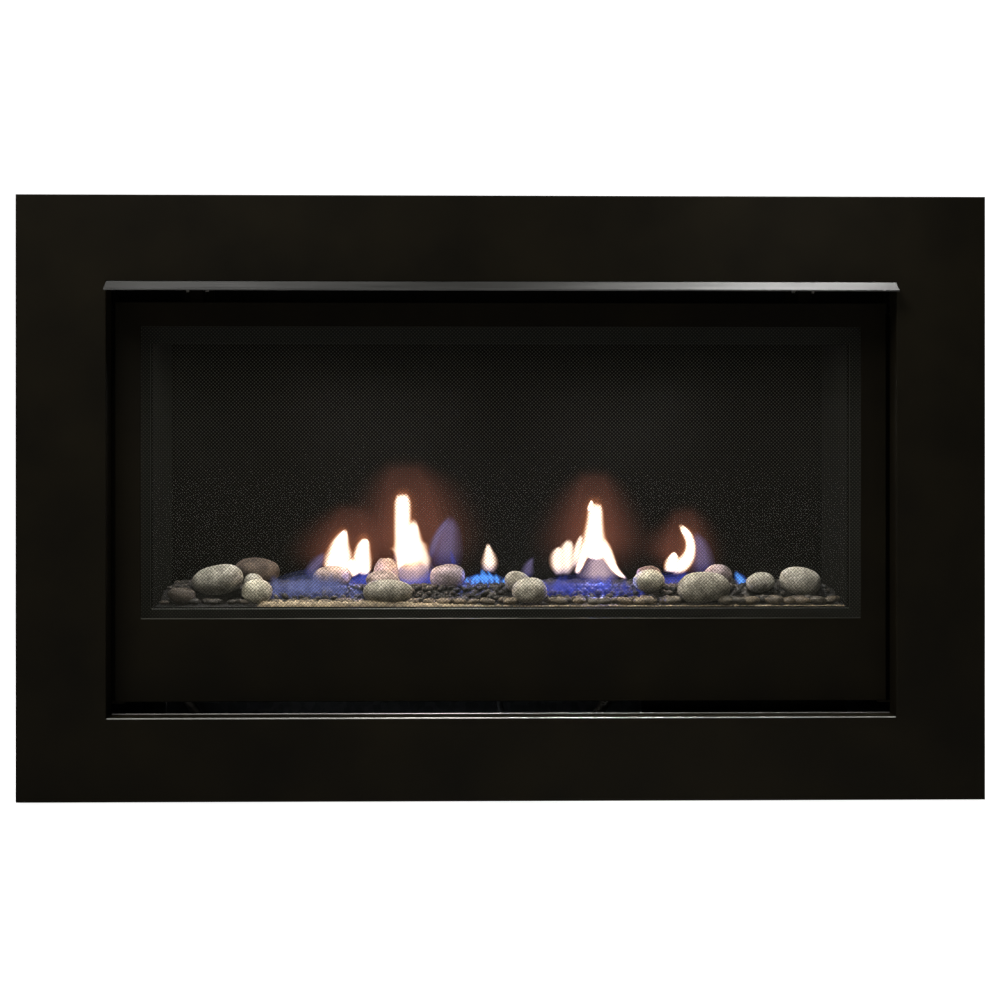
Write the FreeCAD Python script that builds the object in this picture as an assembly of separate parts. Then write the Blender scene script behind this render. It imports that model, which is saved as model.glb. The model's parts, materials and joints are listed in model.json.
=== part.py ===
import FreeCAD, Part
import math
import os
from FreeCAD import Matrix, Vector

# A linear direct vent gas fireplace: casing, sealed firebox, burner, controls, glass, screen and surround.
# Millimetres. X runs to the right seen from the front, Y from the front to the back, Z up.

# General fits
CUT_OVERRUN = 5.0
BODY_GAP = 0.3
HOLE_CLEARANCE = 0.1
HALF_SHARE = 0.5
QUARTER_SHARE = 0.25
FULL_TURN = 360.0

# Opening, surround and hood
OPENING_WIDTH = 962.0
OPENING_HEIGHT = 530.0
SURROUND_SIDE_MARGIN = 109.0
SURROUND_TOP_MARGIN = 105.0
SURROUND_BOTTOM_MARGIN = 102.0
SURROUND_FLOOR_GAP = 3.0
SURROUND_SHEET = 2.0
SURROUND_DEPTH = 25.0
SURROUND_BEND_RADIUS = 1.2
RETURN_DEPTH = 38.0
RETURN_EDGE_RADIUS = 0.8
HOOD_SHEET = 1.5
HOOD_PROJECTION = 20.0
HOOD_DROP = 11.0
HOOD_FLANGE_DEPTH = 30.0
HOOD_END_GAP = 0.5

# Safety screen
SCREEN_SIDE_GAP = 4.0
SCREEN_TOP_GAP = 22.0
SCREEN_BOTTOM_GAP = 15.0
SCREEN_SETBACK = 2.0
SCREEN_SHEET = 1.5
SCREEN_DEPTH = 15.0
SCREEN_LIP = 12.0
SCREEN_SIDE_BAND = 31.5
SCREEN_TOP_BAND = 30.0
SCREEN_BOTTOM_BAND = 103.0
SCREEN_EDGE_RADIUS = 0.8
MESH_OVERLAP = 12.0
MESH_THICKNESS = 0.8
MESH_STRAND = 2.4
MESH_COLUMNS = 17
MESH_ROWS = 7
RETAINER_THICKNESS = 1.2
RETAINER_REVEAL = 4.0

# Glass, its frame and its gasket
GLASS_GAP = 29.0
GLASS_SIDE_REVEAL = 5.5
GLASS_BOTTOM_REVEAL = 10.0
GLASS_TOP_REVEAL = 18.0
GLASS_SIDE_LIP = 22.0
GLASS_BOTTOM_LIP = 16.0
GLASS_TOP_LIP = 40.0
GLASS_FRAME_SHEET = 1.5
GLASS_FRAME_DEPTH = 12.0
GLASS_THICKNESS = 5.0
GLASS_EDGE_GAP = 1.0
GASKET_WIDTH = 12.0
GASKET_PROJECTION = 4.0
GLASS_PIN_RADIUS = 4.0
GLASS_PIN_REACH = 12.0
SADDLE_GAP = 3.0
SADDLE_WIDTH = 8.0
SADDLE_FRONT = 4.0

# Glass latches
LATCH_INSET = 80.0
LATCH_PIVOT_RISE = 27.0
LATCH_PIVOT_REACH = 10.0
LATCH_HUB_RADIUS = 7.0
LATCH_WIDTH = 16.0
LATCH_ARM_SHEET = 4.0
LATCH_WEB_HEIGHT = 8.0
LATCH_BITE = 8.0
LATCH_TAB_LENGTH = 4.0
LATCH_TAB_SHEET = 2.0
LATCH_PIN_RADIUS = 3.0
LATCH_PIN_LENGTH = 28.0
LATCH_BRACKET_SHEET = 1.5
LATCH_BRACKET_WIDTH = 40.0
LATCH_BRACKET_BELOW = 20.0
LATCH_BRACKET_ABOVE = 12.0
LATCH_EAR_GAP = 0.5
LATCH_EAR_FRONT = 6.0
LATCH_EAR_HEIGHT = 16.0
LATCH_LEAF_SHEET = 1.1
LATCH_LEAF_WIDTH = 12.0

# Firebox
FIREBOX_SHEET = 2.0
FIREBOX_DEPTH = 230.0
FIREBOX_SIDE_MARGIN = 10.0
FIREBOX_FLOOR_DROP = 20.0
FIREBOX_HEADROOM = 37.0
FIREBOX_PLATE_OVERHANG = 8.0
FRONT_PLATE_SIDE = 50.0
FRONT_PLATE_BELOW = 28.0
FRONT_PLATE_ABOVE = 80.0
STAND_INSET = 20.0
STAND_FLANGE = 25.0
STAND_SHEET = 1.5
STAND_FRONT_INSET = 40.0
STAND_REAR_INSET = 10.0
BAFFLE_WIDTH = 320.0
BAFFLE_DEPTH = 130.0
BAFFLE_DROP = 25.0
BAFFLE_SHEET = 1.5
BAFFLE_FLANGE = 20.0

# Relief flaps
FLAP_SIDE_INSET = 150.0
FLAP_WIDTH = 180.0
FLAP_DEPTH = 95.0
FLAP_SHEET = 1.5
FLAP_OVERLAP = 12.0
FLAP_GASKET_THICKNESS = 2.0
FLAP_GASKET_WIDTH = 8.0
FLAP_FRONT_INSET = 40.0
KNUCKLE_RADIUS = 4.0
KNUCKLE_RISE = 3.5
FLAP_PIN_RADIUS = 2.0
FLAP_EAR_SHEET = 2.0
FLAP_EAR_GAP = 0.5
FLAP_EAR_DEPTH = 10.0
FLAP_EAR_ABOVE = 4.5

# Vent collars and air duct
VENT_SETBACK = 120.0
EXHAUST_RADIUS = 50.8
EXHAUST_HEIGHT = 156.0
INTAKE_RADIUS = 84.15
INTAKE_HEIGHT = 52.0
COLLAR_SHEET = 1.2
COLLAR_FLANGE_SHEET = 1.5
COLLAR_FLANGE_WIDTH = 26.0
FLUE_GASKET_THICKNESS = 3.0
DUCT_HALF_WIDTH = 120.0
DUCT_FRONT_MARGIN = 20.0
DUCT_SHEET = 1.2
AIR_SLOT_COUNT = 8
AIR_SLOT_WIDTH = 18.0
AIR_SLOT_HEIGHT = 14.0
AIR_SLOT_RISE = 15.0
AIR_SLOT_PITCH = 27.0

# Casing
CASING_SHEET = 1.2
CASING_FRONT_SHEET = 1.5
CASING_WALL_GAP = 1.0
CASING_SIDE_MARGIN = 39.0
CASING_FLANGE = 20.0
CASING_RETURN_GAP = 2.0
CASING_TOP_SPACE = 87.8
REAR_SPACE = 34.8
RAIL_HEIGHT = 40.0
RAIL_WIDTH = 60.0
RAIL_FOOT = 14.0
RAIL_SHEET = 2.0
RAIL_SIDE_INSET = 120.0
RAIL_END_INSET = 20.0
EMBOSS_WIDTH = 380.0
EMBOSS_HEIGHT = 460.0
EMBOSS_DEPTH = 2.5
EMBOSS_DRAFT = 12.0
FLANGE_REACH = 36.0
FLANGE_LEG = 30.0
FLANGE_SHEET = 1.5
FLANGE_HEIGHT = 300.0
FLANGE_SETBACK = 24.0
FLANGE_LIFT = 250.0
FLANGE_HOLE_RADIUS = 2.75
FLANGE_HOLE_INSET = 40.0
FLANGE_HOLE_REACH = 21.0
STANDOFF_HEIGHT = 42.0
STANDOFF_WIDTH = 70.0
STANDOFF_FOOT = 15.0
STANDOFF_SHEET = 1.5
STANDOFF_SIDE_INSET = 190.0
STANDOFF_FRONT_INSET = 110.0
STANDOFF_REAR_INSET = 40.0

# Sheet metal screws
SCREW_SHANK_RADIUS = 2.1
SCREW_LENGTH = 9.0
SCREW_WASHER_RADIUS = 5.5
SCREW_WASHER_HEIGHT = 0.8
HEX_SIDES = 6
SCREW_HEX_RADIUS = 4.0
SCREW_HEX_HEIGHT = 3.0
SCREW_EDGE = 10.0
SCREW_ROWS = 5
SCREW_ROW_END = 45.0
SCREW_TOP_COUNT = 4

# Fire bed
TRAY_HEIGHT = 10.5
TRAY_SHEET = 1.5
TRAY_SIDE_GAP = 5.0
TRAY_END_GAP = 2.0
BURNER_LENGTH = 640.0
BURNER_DEPTH = 90.0
BURNER_HEIGHT = 19.0
BURNER_SHEET = 1.2
BURNER_SETBACK = 73.0
BURNER_CUT_GAP = 2.0
PORT_RADIUS = 1.4
PORT_ROWS = 2
PORT_ROW_PITCH = 40.0
PORT_COUNT = 31
PORT_PITCH = 20.0
BED_FRONT_THICKNESS = 12.0
BED_REAR_THICKNESS = 28.0
BED_STRIP_DEPTH = 40.9
BED_RAMP_DEPTH = 30.0
BED_SIDE_GAP = 9.0
BED_END_GAP = 4.0
BED_EDGE_RADIUS = 5.0
ROCK_SEAT_GAP = 0.05

# River stones: place across as a share of half the bed, place back as a share of its depth,
# half width, half depth and half height as shares of the largest stone, turn in degrees
STONE_HALF_LENGTH = 33.5
RIVER_STONE_SHARES = (
    (-0.923, 0.085, 0.50, 0.42, 0.33, 10.0),
    (-0.830, 0.247, 0.96, 0.75, 0.54, -14.0),
    (-0.739, 0.702, 0.86, 0.62, 0.57, 8.0),
    (-0.706, 0.085, 0.58, 0.48, 0.48, 0.0),
    (-0.724, 0.252, 0.38, 0.33, 0.41, 0.0),
    (-0.499, 0.432, 0.71, 0.57, 0.44, 12.0),
    (-0.330, 0.103, 0.93, 0.66, 0.46, 4.0),
    (-0.345, 0.279, 0.62, 0.48, 0.39, -10.0),
    (-0.342, 0.590, 0.46, 0.39, 0.57, 0.0),
    (-0.258, 0.608, 0.58, 0.45, 0.57, 6.0),
    (-0.157, 0.409, 0.67, 0.54, 0.48, -8.0),
    (0.050, 0.279, 0.51, 0.45, 0.36, 0.0),
    (0.084, 0.094, 0.66, 0.51, 0.49, 12.0),
    (0.440, 0.279, 0.57, 0.48, 0.40, 0.0),
    (0.447, 0.477, 0.53, 0.42, 0.41, 15.0),
    (0.589, 0.108, 0.96, 0.66, 0.60, -5.0),
    (0.655, 0.387, 0.54, 0.48, 0.47, 0.0),
    (0.767, 0.265, 0.53, 0.45, 0.39, 9.0),
    (0.887, 0.229, 0.79, 0.66, 0.54, -6.0),
)

# Venturi, orifice and air shutter
VENTURI_RADIUS = 13.0
VENTURI_SHEET = 1.5
VENTURI_LENGTH = 61.0
VENTURI_RIM_RADIUS = 15.0
VENTURI_RIM_HEIGHT = 3.7
SHUTTER_SHEET = 1.7
SHUTTER_HEIGHT = 22.0
SHUTTER_TAB_REACH = 12.0
SHUTTER_TAB_WIDTH = 6.0
SHUTTER_TAB_SHEET = 2.0
AIR_WINDOW_WIDTH = 11.0
AIR_WINDOW_HEIGHT = 14.0
AIR_WINDOW_RISE = 8.0
ORIFICE_RADIUS = 7.0
ORIFICE_SHOULDER_RADIUS = 10.0
ORIFICE_SHOULDER_HEIGHT = 2.0
ORIFICE_LENGTH = 30.0
NOZZLE_RADIUS = 4.0
NOZZLE_LENGTH = 8.0
ORIFICE_BRACKET_HALF = 35.0
ORIFICE_BRACKET_DEPTH = 30.0
ORIFICE_BRACKET_SHEET = 2.0
ORIFICE_BRACKET_DROP = 65.0

# Pilot
PILOT_ACROSS = 90.0
PILOT_SETBACK = 188.0
PILOT_PLATE_LENGTH = 78.0
PILOT_PLATE_DEPTH = 32.0
PILOT_PLATE_SHEET = 2.0
PILOT_CUT_LENGTH = 66.0
PILOT_CUT_DEPTH = 20.0
PILOT_BODY_RADIUS = 5.0
PILOT_HEAD_RADIUS = 6.5
PILOT_HEAD_HEIGHT = 10.0
PILOT_HOOD_LENGTH = 14.0
PILOT_HOOD_SHEET = 1.5
PILOT_BODY_DROP = 20.0
PILOT_RISE = 22.0
SENSOR_PITCH = 19.0
THERMOPILE_RADIUS = 4.0
SENSOR_RISE = 28.0
ELECTRODE_RADIUS = 3.5
ELECTRODE_RISE = 14.0
ELECTRODE_WIRE_RADIUS = 0.9
ELECTRODE_WIRE_LENGTH = 12.0

# Controls
PANEL_SETBACK = 20.0
PANEL_SHEET = 2.0
PANEL_MARGIN = 24.0
PANEL_HEIGHT = 158.0
PANEL_FOOT = 30.0
CONTROL_LIFT = 155.0
VALVE_SIDE_INSET = 270.0
VALVE_LENGTH = 100.0
VALVE_DEPTH = 68.0
VALVE_HEIGHT = 62.0
VALVE_CHAMFER = 3.0
VALVE_BOSS_RADIUS = 11.0
VALVE_BOSS_LENGTH = 10.0
VALVE_PORT_LIFT = 135.0
KNOB_SPREAD = 50.0
SPINDLE_RADIUS = 4.0
SPINDLE_LENGTH = 22.0
SPINDLE_WELL = 16.0
KNOB_RADIUS = 17.0
KNOB_HEIGHT = 12.0
KNOB_PANEL_GAP = 4.0
KNOB_FLUTES = 12
KNOB_FLUTE_RADIUS = 2.0
KNOB_POINTER_WIDTH = 3.0
KNOB_POINTER_HEIGHT = 1.0
KNOB_SOCKET_DEPTH = 8.0
SMALL_KNOB_RADIUS = 13.0
IGNITER_GAP = 32.0
IGNITER_RADIUS = 9.0
IGNITER_LENGTH = 40.0
IGNITER_NUT_RADIUS = 13.0
IGNITER_NUT_HEIGHT = 4.0
BUTTON_RADIUS = 6.0
BUTTON_REACH = 10.0
BUTTON_STEM_RADIUS = 3.5
BUTTON_STEM_LENGTH = 24.0
BUTTON_WELL = 32.0
SWITCH_GAP = 25.0
SWITCH_WIDTH = 22.0
SWITCH_HEIGHT = 32.0
SWITCH_DEPTH = 26.0
SWITCH_RIM = 3.0
SWITCH_RIM_HEIGHT = 2.0
SWITCH_POCKET = 12.0
ROCKER_GAP = 0.5
ROCKER_PIVOT_DEPTH = 5.0
ROCKER_PIVOT_RADIUS = 1.5
ROCKER_PIVOT_REACH = 2.0
ROCKER_TILT = 8.0
ROCKER_THICKNESS = 5.0

# Gas line and leads
INLET_LIFT = 130.0
INLET_SETBACK = 55.0
INLET_REACH = 24.0
INLET_RADIUS = 10.6
INLET_BORE_RADIUS = 7.3
INLET_BORE_LENGTH = 20.0
SHUTOFF_LENGTH = 50.0
SHUTOFF_HALF = 16.0
SHUTOFF_INSET = 20.0
LEVER_STEM_RADIUS = 4.0
LEVER_STEM_LENGTH = 12.0
LEVER_LENGTH = 48.0
LEVER_WIDTH = 12.0
LEVER_SHEET = 3.0
LEVER_STEM_SINK = 6.0
INLET_TUBE_RADIUS = 7.0
INLET_TUBE_BEND = 30.0
INLET_TUBE_LIFT = 75.0
INLET_TUBE_DROP_RUN = 40.0
BURNER_TUBE_RADIUS = 4.75
BURNER_TUBE_BEND = 14.0
BURNER_TUBE_LIFT = 80.0
BURNER_PORT_LIFT = 122.0
PILOT_TUBE_RADIUS = 2.4
PILOT_TUBE_BEND = 12.0
PILOT_PORT_OFFSET = 36.0
PILOT_PORT_LIFT = 142.0
LEAD_RADIUS = 2.0
LEAD_BEND = 12.0
SENSOR_LEAD_OFFSET = 36.0
SENSOR_LEAD_LIFT = 132.0

# Front brackets and magnets
FRONT_BRACKET_SHEET = 1.5
SURROUND_BRACKET_END_INSET = 50.0
SURROUND_BRACKET_LAND = 16.0
SURROUND_BRACKET_CLEARANCE = 5.0
SCREEN_BRACKET_LAND = 13.0
SCREEN_STOP_REACH = 21.0
SCREEN_BRACKET_END_INSET = 10.0
MAGNET_THICKNESS = 3.0
SURROUND_MAGNET_RADIUS = 7.0
SCREEN_MAGNET_RADIUS = 5.0
MAGNET_END_INSET = 60.0
MAGNET_GAP = 0.2

# Front to back layout
SCREW_HEAD = SCREW_WASHER_HEIGHT + SCREW_HEX_HEIGHT
SCREEN_FRONT_DEPTH = RETURN_DEPTH + SCREEN_SETBACK
GLASS_FRONT_DEPTH = SCREEN_FRONT_DEPTH + SCREEN_DEPTH + GLASS_GAP
PLATE_FRONT_DEPTH = GLASS_FRONT_DEPTH + GLASS_FRAME_DEPTH + GASKET_PROJECTION
FIREBOX_FRONT_DEPTH = PLATE_FRONT_DEPTH + FIREBOX_SHEET
FIREBOX_BACK_DEPTH = FIREBOX_FRONT_DEPTH + FIREBOX_DEPTH + FIREBOX_SHEET
CASING_REAR_DEPTH = FIREBOX_BACK_DEPTH + REAR_SPACE + CASING_SHEET
OVERALL_DEPTH = HOOD_PROJECTION + CASING_REAR_DEPTH + SCREW_HEAD
FACE_Y = HOOD_PROJECTION - OVERALL_DEPTH * HALF_SHARE
RETURN_REAR_Y = FACE_Y + RETURN_DEPTH
CASING_FRONT_Y = FACE_Y + SURROUND_DEPTH + CASING_WALL_GAP
CASING_INNER_FRONT_Y = CASING_FRONT_Y + CASING_FRONT_SHEET
SCREEN_Y = FACE_Y + SCREEN_FRONT_DEPTH
SCREEN_REAR_Y = SCREEN_Y + SCREEN_DEPTH
GLASS_Y = FACE_Y + GLASS_FRONT_DEPTH
PLATE_Y = FACE_Y + PLATE_FRONT_DEPTH
FIREBOX_Y = FACE_Y + FIREBOX_FRONT_DEPTH
FIREBOX_REAR_Y = FACE_Y + FIREBOX_BACK_DEPTH
CASING_REAR_Y = FACE_Y + CASING_REAR_DEPTH
CASING_INNER_REAR_Y = CASING_REAR_Y - CASING_SHEET
VENT_Y = FIREBOX_Y + VENT_SETBACK
BURNER_Y = FIREBOX_Y + BURNER_SETBACK
BURNER_MID_Y = BURNER_Y + BURNER_DEPTH * HALF_SHARE
PANEL_Y = SCREEN_REAR_Y + PANEL_SETBACK
PANEL_REAR_Y = PANEL_Y + PANEL_SHEET
INLET_Y = SCREEN_REAR_Y + INLET_SETBACK
PILOT_Y = FIREBOX_Y + PILOT_SETBACK

# Heights
OPENING_BOTTOM = SURROUND_FLOOR_GAP + SURROUND_BOTTOM_MARGIN
OPENING_TOP = OPENING_BOTTOM + OPENING_HEIGHT
SURROUND_TOP = OPENING_TOP + SURROUND_TOP_MARGIN
SCREEN_BOTTOM = OPENING_BOTTOM + SCREEN_BOTTOM_GAP
SCREEN_TOP = OPENING_TOP - SCREEN_TOP_GAP
WINDOW_BOTTOM = SCREEN_BOTTOM + SCREEN_BOTTOM_BAND
WINDOW_TOP = SCREEN_TOP - SCREEN_TOP_BAND
VIEW_BOTTOM = WINDOW_BOTTOM + GLASS_BOTTOM_REVEAL
VIEW_TOP = WINDOW_TOP - GLASS_TOP_REVEAL
GLASS_FRAME_BOTTOM = VIEW_BOTTOM - GLASS_BOTTOM_LIP
GLASS_FRAME_TOP = VIEW_TOP + GLASS_TOP_LIP
PLATE_BOTTOM = VIEW_BOTTOM - FRONT_PLATE_BELOW
PLATE_TOP = VIEW_TOP + FRONT_PLATE_ABOVE
FIRE_FLOOR = VIEW_BOTTOM - FIREBOX_FLOOR_DROP
FIRE_CEILING = VIEW_TOP + FIREBOX_HEADROOM
FIREBOX_UNDER = FIRE_FLOOR - FIREBOX_SHEET
FIREBOX_TOP = FIRE_CEILING + FIREBOX_SHEET
CASING_UNDER_TOP = FIREBOX_TOP + CASING_TOP_SPACE
CASING_TOP = CASING_UNDER_TOP + CASING_SHEET
PAN_TOP = RAIL_HEIGHT + CASING_SHEET
TRAY_TOP = FIRE_FLOOR + TRAY_HEIGHT
BURNER_TOP = FIRE_FLOOR + BURNER_HEIGHT
LATCH_PIVOT_Z = GLASS_FRAME_TOP + LATCH_PIVOT_RISE
ORIFICE_SEAT = FIREBOX_UNDER - ORIFICE_BRACKET_DROP
VENTURI_BOTTOM = FIRE_FLOOR - VENTURI_LENGTH
FLAP_BOTTOM = FIREBOX_TOP + FLAP_GASKET_THICKNESS

# Widths
HALF_OPENING = OPENING_WIDTH * HALF_SHARE
HALF_SURROUND = HALF_OPENING + SURROUND_SIDE_MARGIN
HALF_SCREEN = HALF_OPENING - SCREEN_SIDE_GAP
HALF_WINDOW = HALF_SCREEN - SCREEN_SIDE_BAND
HALF_VIEW = HALF_WINDOW - GLASS_SIDE_REVEAL
HALF_GLASS_FRAME = HALF_VIEW + GLASS_SIDE_LIP
HALF_PLATE = HALF_VIEW + FRONT_PLATE_SIDE
HALF_FIREBOX = HALF_VIEW + FIREBOX_SIDE_MARGIN
HALF_CASING = HALF_OPENING + CASING_SIDE_MARGIN
HALF_TRAY = HALF_FIREBOX - TRAY_SIDE_GAP
FLAP_CENTRE = HALF_FIREBOX - FLAP_SIDE_INSET
STANDOFF_CENTRE = HALF_CASING - STANDOFF_SIDE_INSET
VALVE_ACROSS = HALF_CASING - VALVE_SIDE_INSET
RAIL_CENTRE = HALF_CASING - RAIL_SIDE_INSET
EMBOSS_CENTRE = HALF_CASING * HALF_SHARE
LATCH_X = HALF_GLASS_FRAME - LATCH_INSET
LATCH_PIVOT_Y = PLATE_Y - LATCH_PIVOT_REACH


# Shape helpers
def block(x0, x1, y0, y1, z0, z1):
    return Part.makeBox(x1 - x0, y1 - y0, z1 - z0, Vector(x0, y0, z0))


def rod_x(radius, x0, x1, y, z):
    return Part.makeCylinder(radius, x1 - x0, Vector(x0, y, z), Vector(1, 0, 0))


def rod_y(radius, x, y0, y1, z):
    return Part.makeCylinder(radius, y1 - y0, Vector(x, y0, z), Vector(0, 1, 0))


def rod_z(radius, x, y, z0, z1):
    return Part.makeCylinder(radius, z1 - z0, Vector(x, y, z0), Vector(0, 0, 1))


def join(shapes):
    whole = shapes[0].fuse(shapes[1:])
    return whole.removeSplitter()


def sheet_x(points, x0, x1):
    outline = [Vector(x0, y, z) for y, z in points]
    return Part.Face(Part.makePolygon(outline + outline[:1])).extrude(Vector(x1 - x0, 0, 0))


def sheet_y(points, y0, y1):
    outline = [Vector(x, y0, z) for x, z in points]
    return Part.Face(Part.makePolygon(outline + outline[:1])).extrude(Vector(0, y1 - y0, 0))


def sheet_z(points, z0, z1):
    outline = [Vector(x, y, z0) for x, y in points]
    return Part.Face(Part.makePolygon(outline + outline[:1])).extrude(Vector(0, 0, z1 - z0))


def frame_y(outer, inner, y0, y1):
    x0, x1, z0, z1 = outer
    a0, a1, b0, b1 = inner
    hole = block(a0, a1, y0 - CUT_OVERRUN, y1 + CUT_OVERRUN, b0, b1)
    return block(x0, x1, y0, y1, z0, z1).cut(hole)


def grown(rectangle, amount):
    x0, x1, z0, z1 = rectangle
    return (x0 - amount, x1 + amount, z0 - amount, z1 + amount)


def edges_at_y(shape, y, rectangle):
    x0, x1, z0, z1 = rectangle
    found = []
    for edge in shape.Edges:
        box = edge.BoundBox
        flat = abs(box.YMin - y) < HOLE_CLEARANCE and abs(box.YMax - y) < HOLE_CLEARANCE
        on_x = min(abs(box.XMin - x) + abs(box.XMax - x) for x in (x0, x1)) < HOLE_CLEARANCE
        on_z = min(abs(box.ZMin - z) + abs(box.ZMax - z) for z in (z0, z1)) < HOLE_CLEARANCE
        if flat and (on_x or on_z):
            found.append(edge)
    return found


def mirrored(shape):
    return shape.mirror(Vector(0, 0, 0), Vector(1, 0, 0))


def mirror_pair(shape):
    return Part.makeCompound([shape, mirrored(shape)])


def spread(count, pitch):
    return [(index - (count - 1) * HALF_SHARE) * pitch for index in range(count)]


def even(start, end, count):
    return [start + (end - start) * index / (count - 1) for index in range(count)]


def routed_tube(points, radius, bend):
    corners = [Vector(*point) for point in points]
    edges = []
    start = corners[0]
    for before, corner, after in zip(corners, corners[1:], corners[2:]):
        inward = (before - corner).normalize()
        outward = (after - corner).normalize()
        half_angle = inward.getAngle(outward) * HALF_SHARE
        trim = bend / math.tan(half_angle)
        entry = corner + inward * trim
        leave = corner + outward * trim
        middle_line = (inward + outward).normalize()
        centre = corner + middle_line * (bend / math.sin(half_angle))
        middle = centre - middle_line * bend
        edges.append(Part.LineSegment(start, entry).toShape())
        edges.append(Part.Arc(entry, middle, leave).toShape())
        start = leave
    edges.append(Part.LineSegment(start, corners[-1]).toShape())
    path = Part.Wire(edges)
    heading = (corners[1] - corners[0]).normalize()
    section = Part.Wire(Part.makeCircle(radius, corners[0], heading))
    return path.makePipeShell([section], True, False)


# Surround and hood
OPENING = (-HALF_OPENING, HALF_OPENING, OPENING_BOTTOM, OPENING_TOP)
SURROUND_OUTLINE = (-HALF_SURROUND, HALF_SURROUND, SURROUND_FLOOR_GAP, SURROUND_TOP)


def surround_face():
    face = frame_y(SURROUND_OUTLINE, OPENING, FACE_Y, FACE_Y + SURROUND_SHEET)
    hollow = grown(SURROUND_OUTLINE, -SURROUND_SHEET)
    rim = frame_y(SURROUND_OUTLINE, hollow, FACE_Y, FACE_Y + SURROUND_DEPTH)
    sleeve = frame_y(grown(OPENING, SURROUND_SHEET), OPENING, FACE_Y, RETURN_REAR_Y)
    body = join([face, rim, sleeve])
    front = edges_at_y(body, FACE_Y, SURROUND_OUTLINE) + edges_at_y(body, FACE_Y, OPENING)
    body = body.makeFillet(SURROUND_BEND_RADIUS, front)
    return body.makeFillet(RETURN_EDGE_RADIUS, edges_at_y(body, RETURN_REAR_Y, OPENING))


def heat_deflector_hood():
    front = FACE_Y - HOOD_PROJECTION
    rear = FACE_Y + HOOD_FLANGE_DEPTH
    tip = OPENING_TOP - HOOD_DROP
    points = [
        (rear, OPENING_TOP),
        (FACE_Y, OPENING_TOP),
        (front, tip),
        (front, tip - HOOD_SHEET),
        (FACE_Y, OPENING_TOP - HOOD_SHEET),
        (rear, OPENING_TOP - HOOD_SHEET),
    ]
    reach = HALF_OPENING - HOOD_END_GAP
    return sheet_x(points, -reach, reach)


# Safety screen
SCREEN = (-HALF_SCREEN, HALF_SCREEN, SCREEN_BOTTOM, SCREEN_TOP)
WINDOW = (-HALF_WINDOW, HALF_WINDOW, WINDOW_BOTTOM, WINDOW_TOP)


def screen_frame():
    hollow = grown(SCREEN, -SCREEN_SHEET)
    face = frame_y(SCREEN, WINDOW, SCREEN_Y, SCREEN_Y + SCREEN_SHEET)
    rim = frame_y(SCREEN, hollow, SCREEN_Y, SCREEN_REAR_Y)
    lip = frame_y(SCREEN, grown(SCREEN, -SCREEN_LIP), SCREEN_REAR_Y - SCREEN_SHEET, SCREEN_REAR_Y)
    body = join([face, rim, lip])
    front = edges_at_y(body, SCREEN_Y, SCREEN) + edges_at_y(body, SCREEN_Y, WINDOW)
    return body.makeFillet(SCREEN_EDGE_RADIUS, front)


def mesh_gap(x, z, half_x, half_z, y):
    corners = [(x - half_x, z), (x, z - half_z), (x + half_x, z), (x, z + half_z)]
    x0, x1, z0, z1 = WINDOW
    kept = [(a, b) for a, b in corners if x0 <= a <= x1 and z0 <= b <= z1]
    outline = [Vector(a, y, b) for a, b in kept]
    return Part.makePolygon(outline + outline[:1])


def screen_mesh():
    y0 = SCREEN_Y + SCREEN_SHEET
    x0, x1, z0, z1 = WINDOW
    pitch_x = (x1 - x0) / MESH_COLUMNS
    pitch_z = (z1 - z0) / MESH_ROWS
    half_x = pitch_x * HALF_SHARE - MESH_STRAND
    half_z = pitch_z * HALF_SHARE - MESH_STRAND
    gaps = []
    for column in range(MESH_COLUMNS):
        for row in range(MESH_ROWS):
            centre_x = x0 + (column + HALF_SHARE) * pitch_x
            centre_z = z0 + (row + HALF_SHARE) * pitch_z
            gaps.append(mesh_gap(centre_x, centre_z, half_x, half_z, y0))
    for column in range(MESH_COLUMNS + 1):
        for row in range(MESH_ROWS + 1):
            corner = column in (0, MESH_COLUMNS) and row in (0, MESH_ROWS)
            if not corner:
                gaps.append(mesh_gap(x0 + column * pitch_x, z0 + row * pitch_z, half_x, half_z, y0))
    a0, a1, b0, b1 = grown(WINDOW, MESH_OVERLAP)
    rim = [Vector(a0, y0, b0), Vector(a1, y0, b0), Vector(a1, y0, b1), Vector(a0, y0, b1)]
    net = Part.makeFace([Part.makePolygon(rim + rim[:1])] + gaps, "Part::FaceMakerBullseye")
    return net.extrude(Vector(0, MESH_THICKNESS, 0))


def mesh_retainer():
    y0 = SCREEN_Y + SCREEN_SHEET + MESH_THICKNESS
    y1 = y0 + RETAINER_THICKNESS
    return frame_y(grown(WINDOW, MESH_OVERLAP), grown(WINDOW, RETAINER_REVEAL), y0, y1)


# Glass
GLASS_OUTLINE = (-HALF_GLASS_FRAME, HALF_GLASS_FRAME, GLASS_FRAME_BOTTOM, GLASS_FRAME_TOP)
VIEW = (-HALF_VIEW, HALF_VIEW, VIEW_BOTTOM, VIEW_TOP)
PANE = grown(GLASS_OUTLINE, -GLASS_FRAME_SHEET - GLASS_EDGE_GAP)
GLASS_AXIS_Y = GLASS_Y + GLASS_FRAME_DEPTH * HALF_SHARE


def glass_frame():
    face = frame_y(GLASS_OUTLINE, VIEW, GLASS_Y, GLASS_Y + GLASS_FRAME_SHEET)
    hollow = grown(GLASS_OUTLINE, -GLASS_FRAME_SHEET)
    rim = frame_y(GLASS_OUTLINE, hollow, GLASS_Y, GLASS_Y + GLASS_FRAME_DEPTH)
    root = HALF_GLASS_FRAME - GLASS_FRAME_SHEET
    tip = HALF_GLASS_FRAME + GLASS_PIN_REACH
    pin = rod_x(GLASS_PIN_RADIUS, root, tip, GLASS_AXIS_Y, GLASS_FRAME_BOTTOM)
    return join([face, rim, pin, mirrored(pin)])


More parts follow.
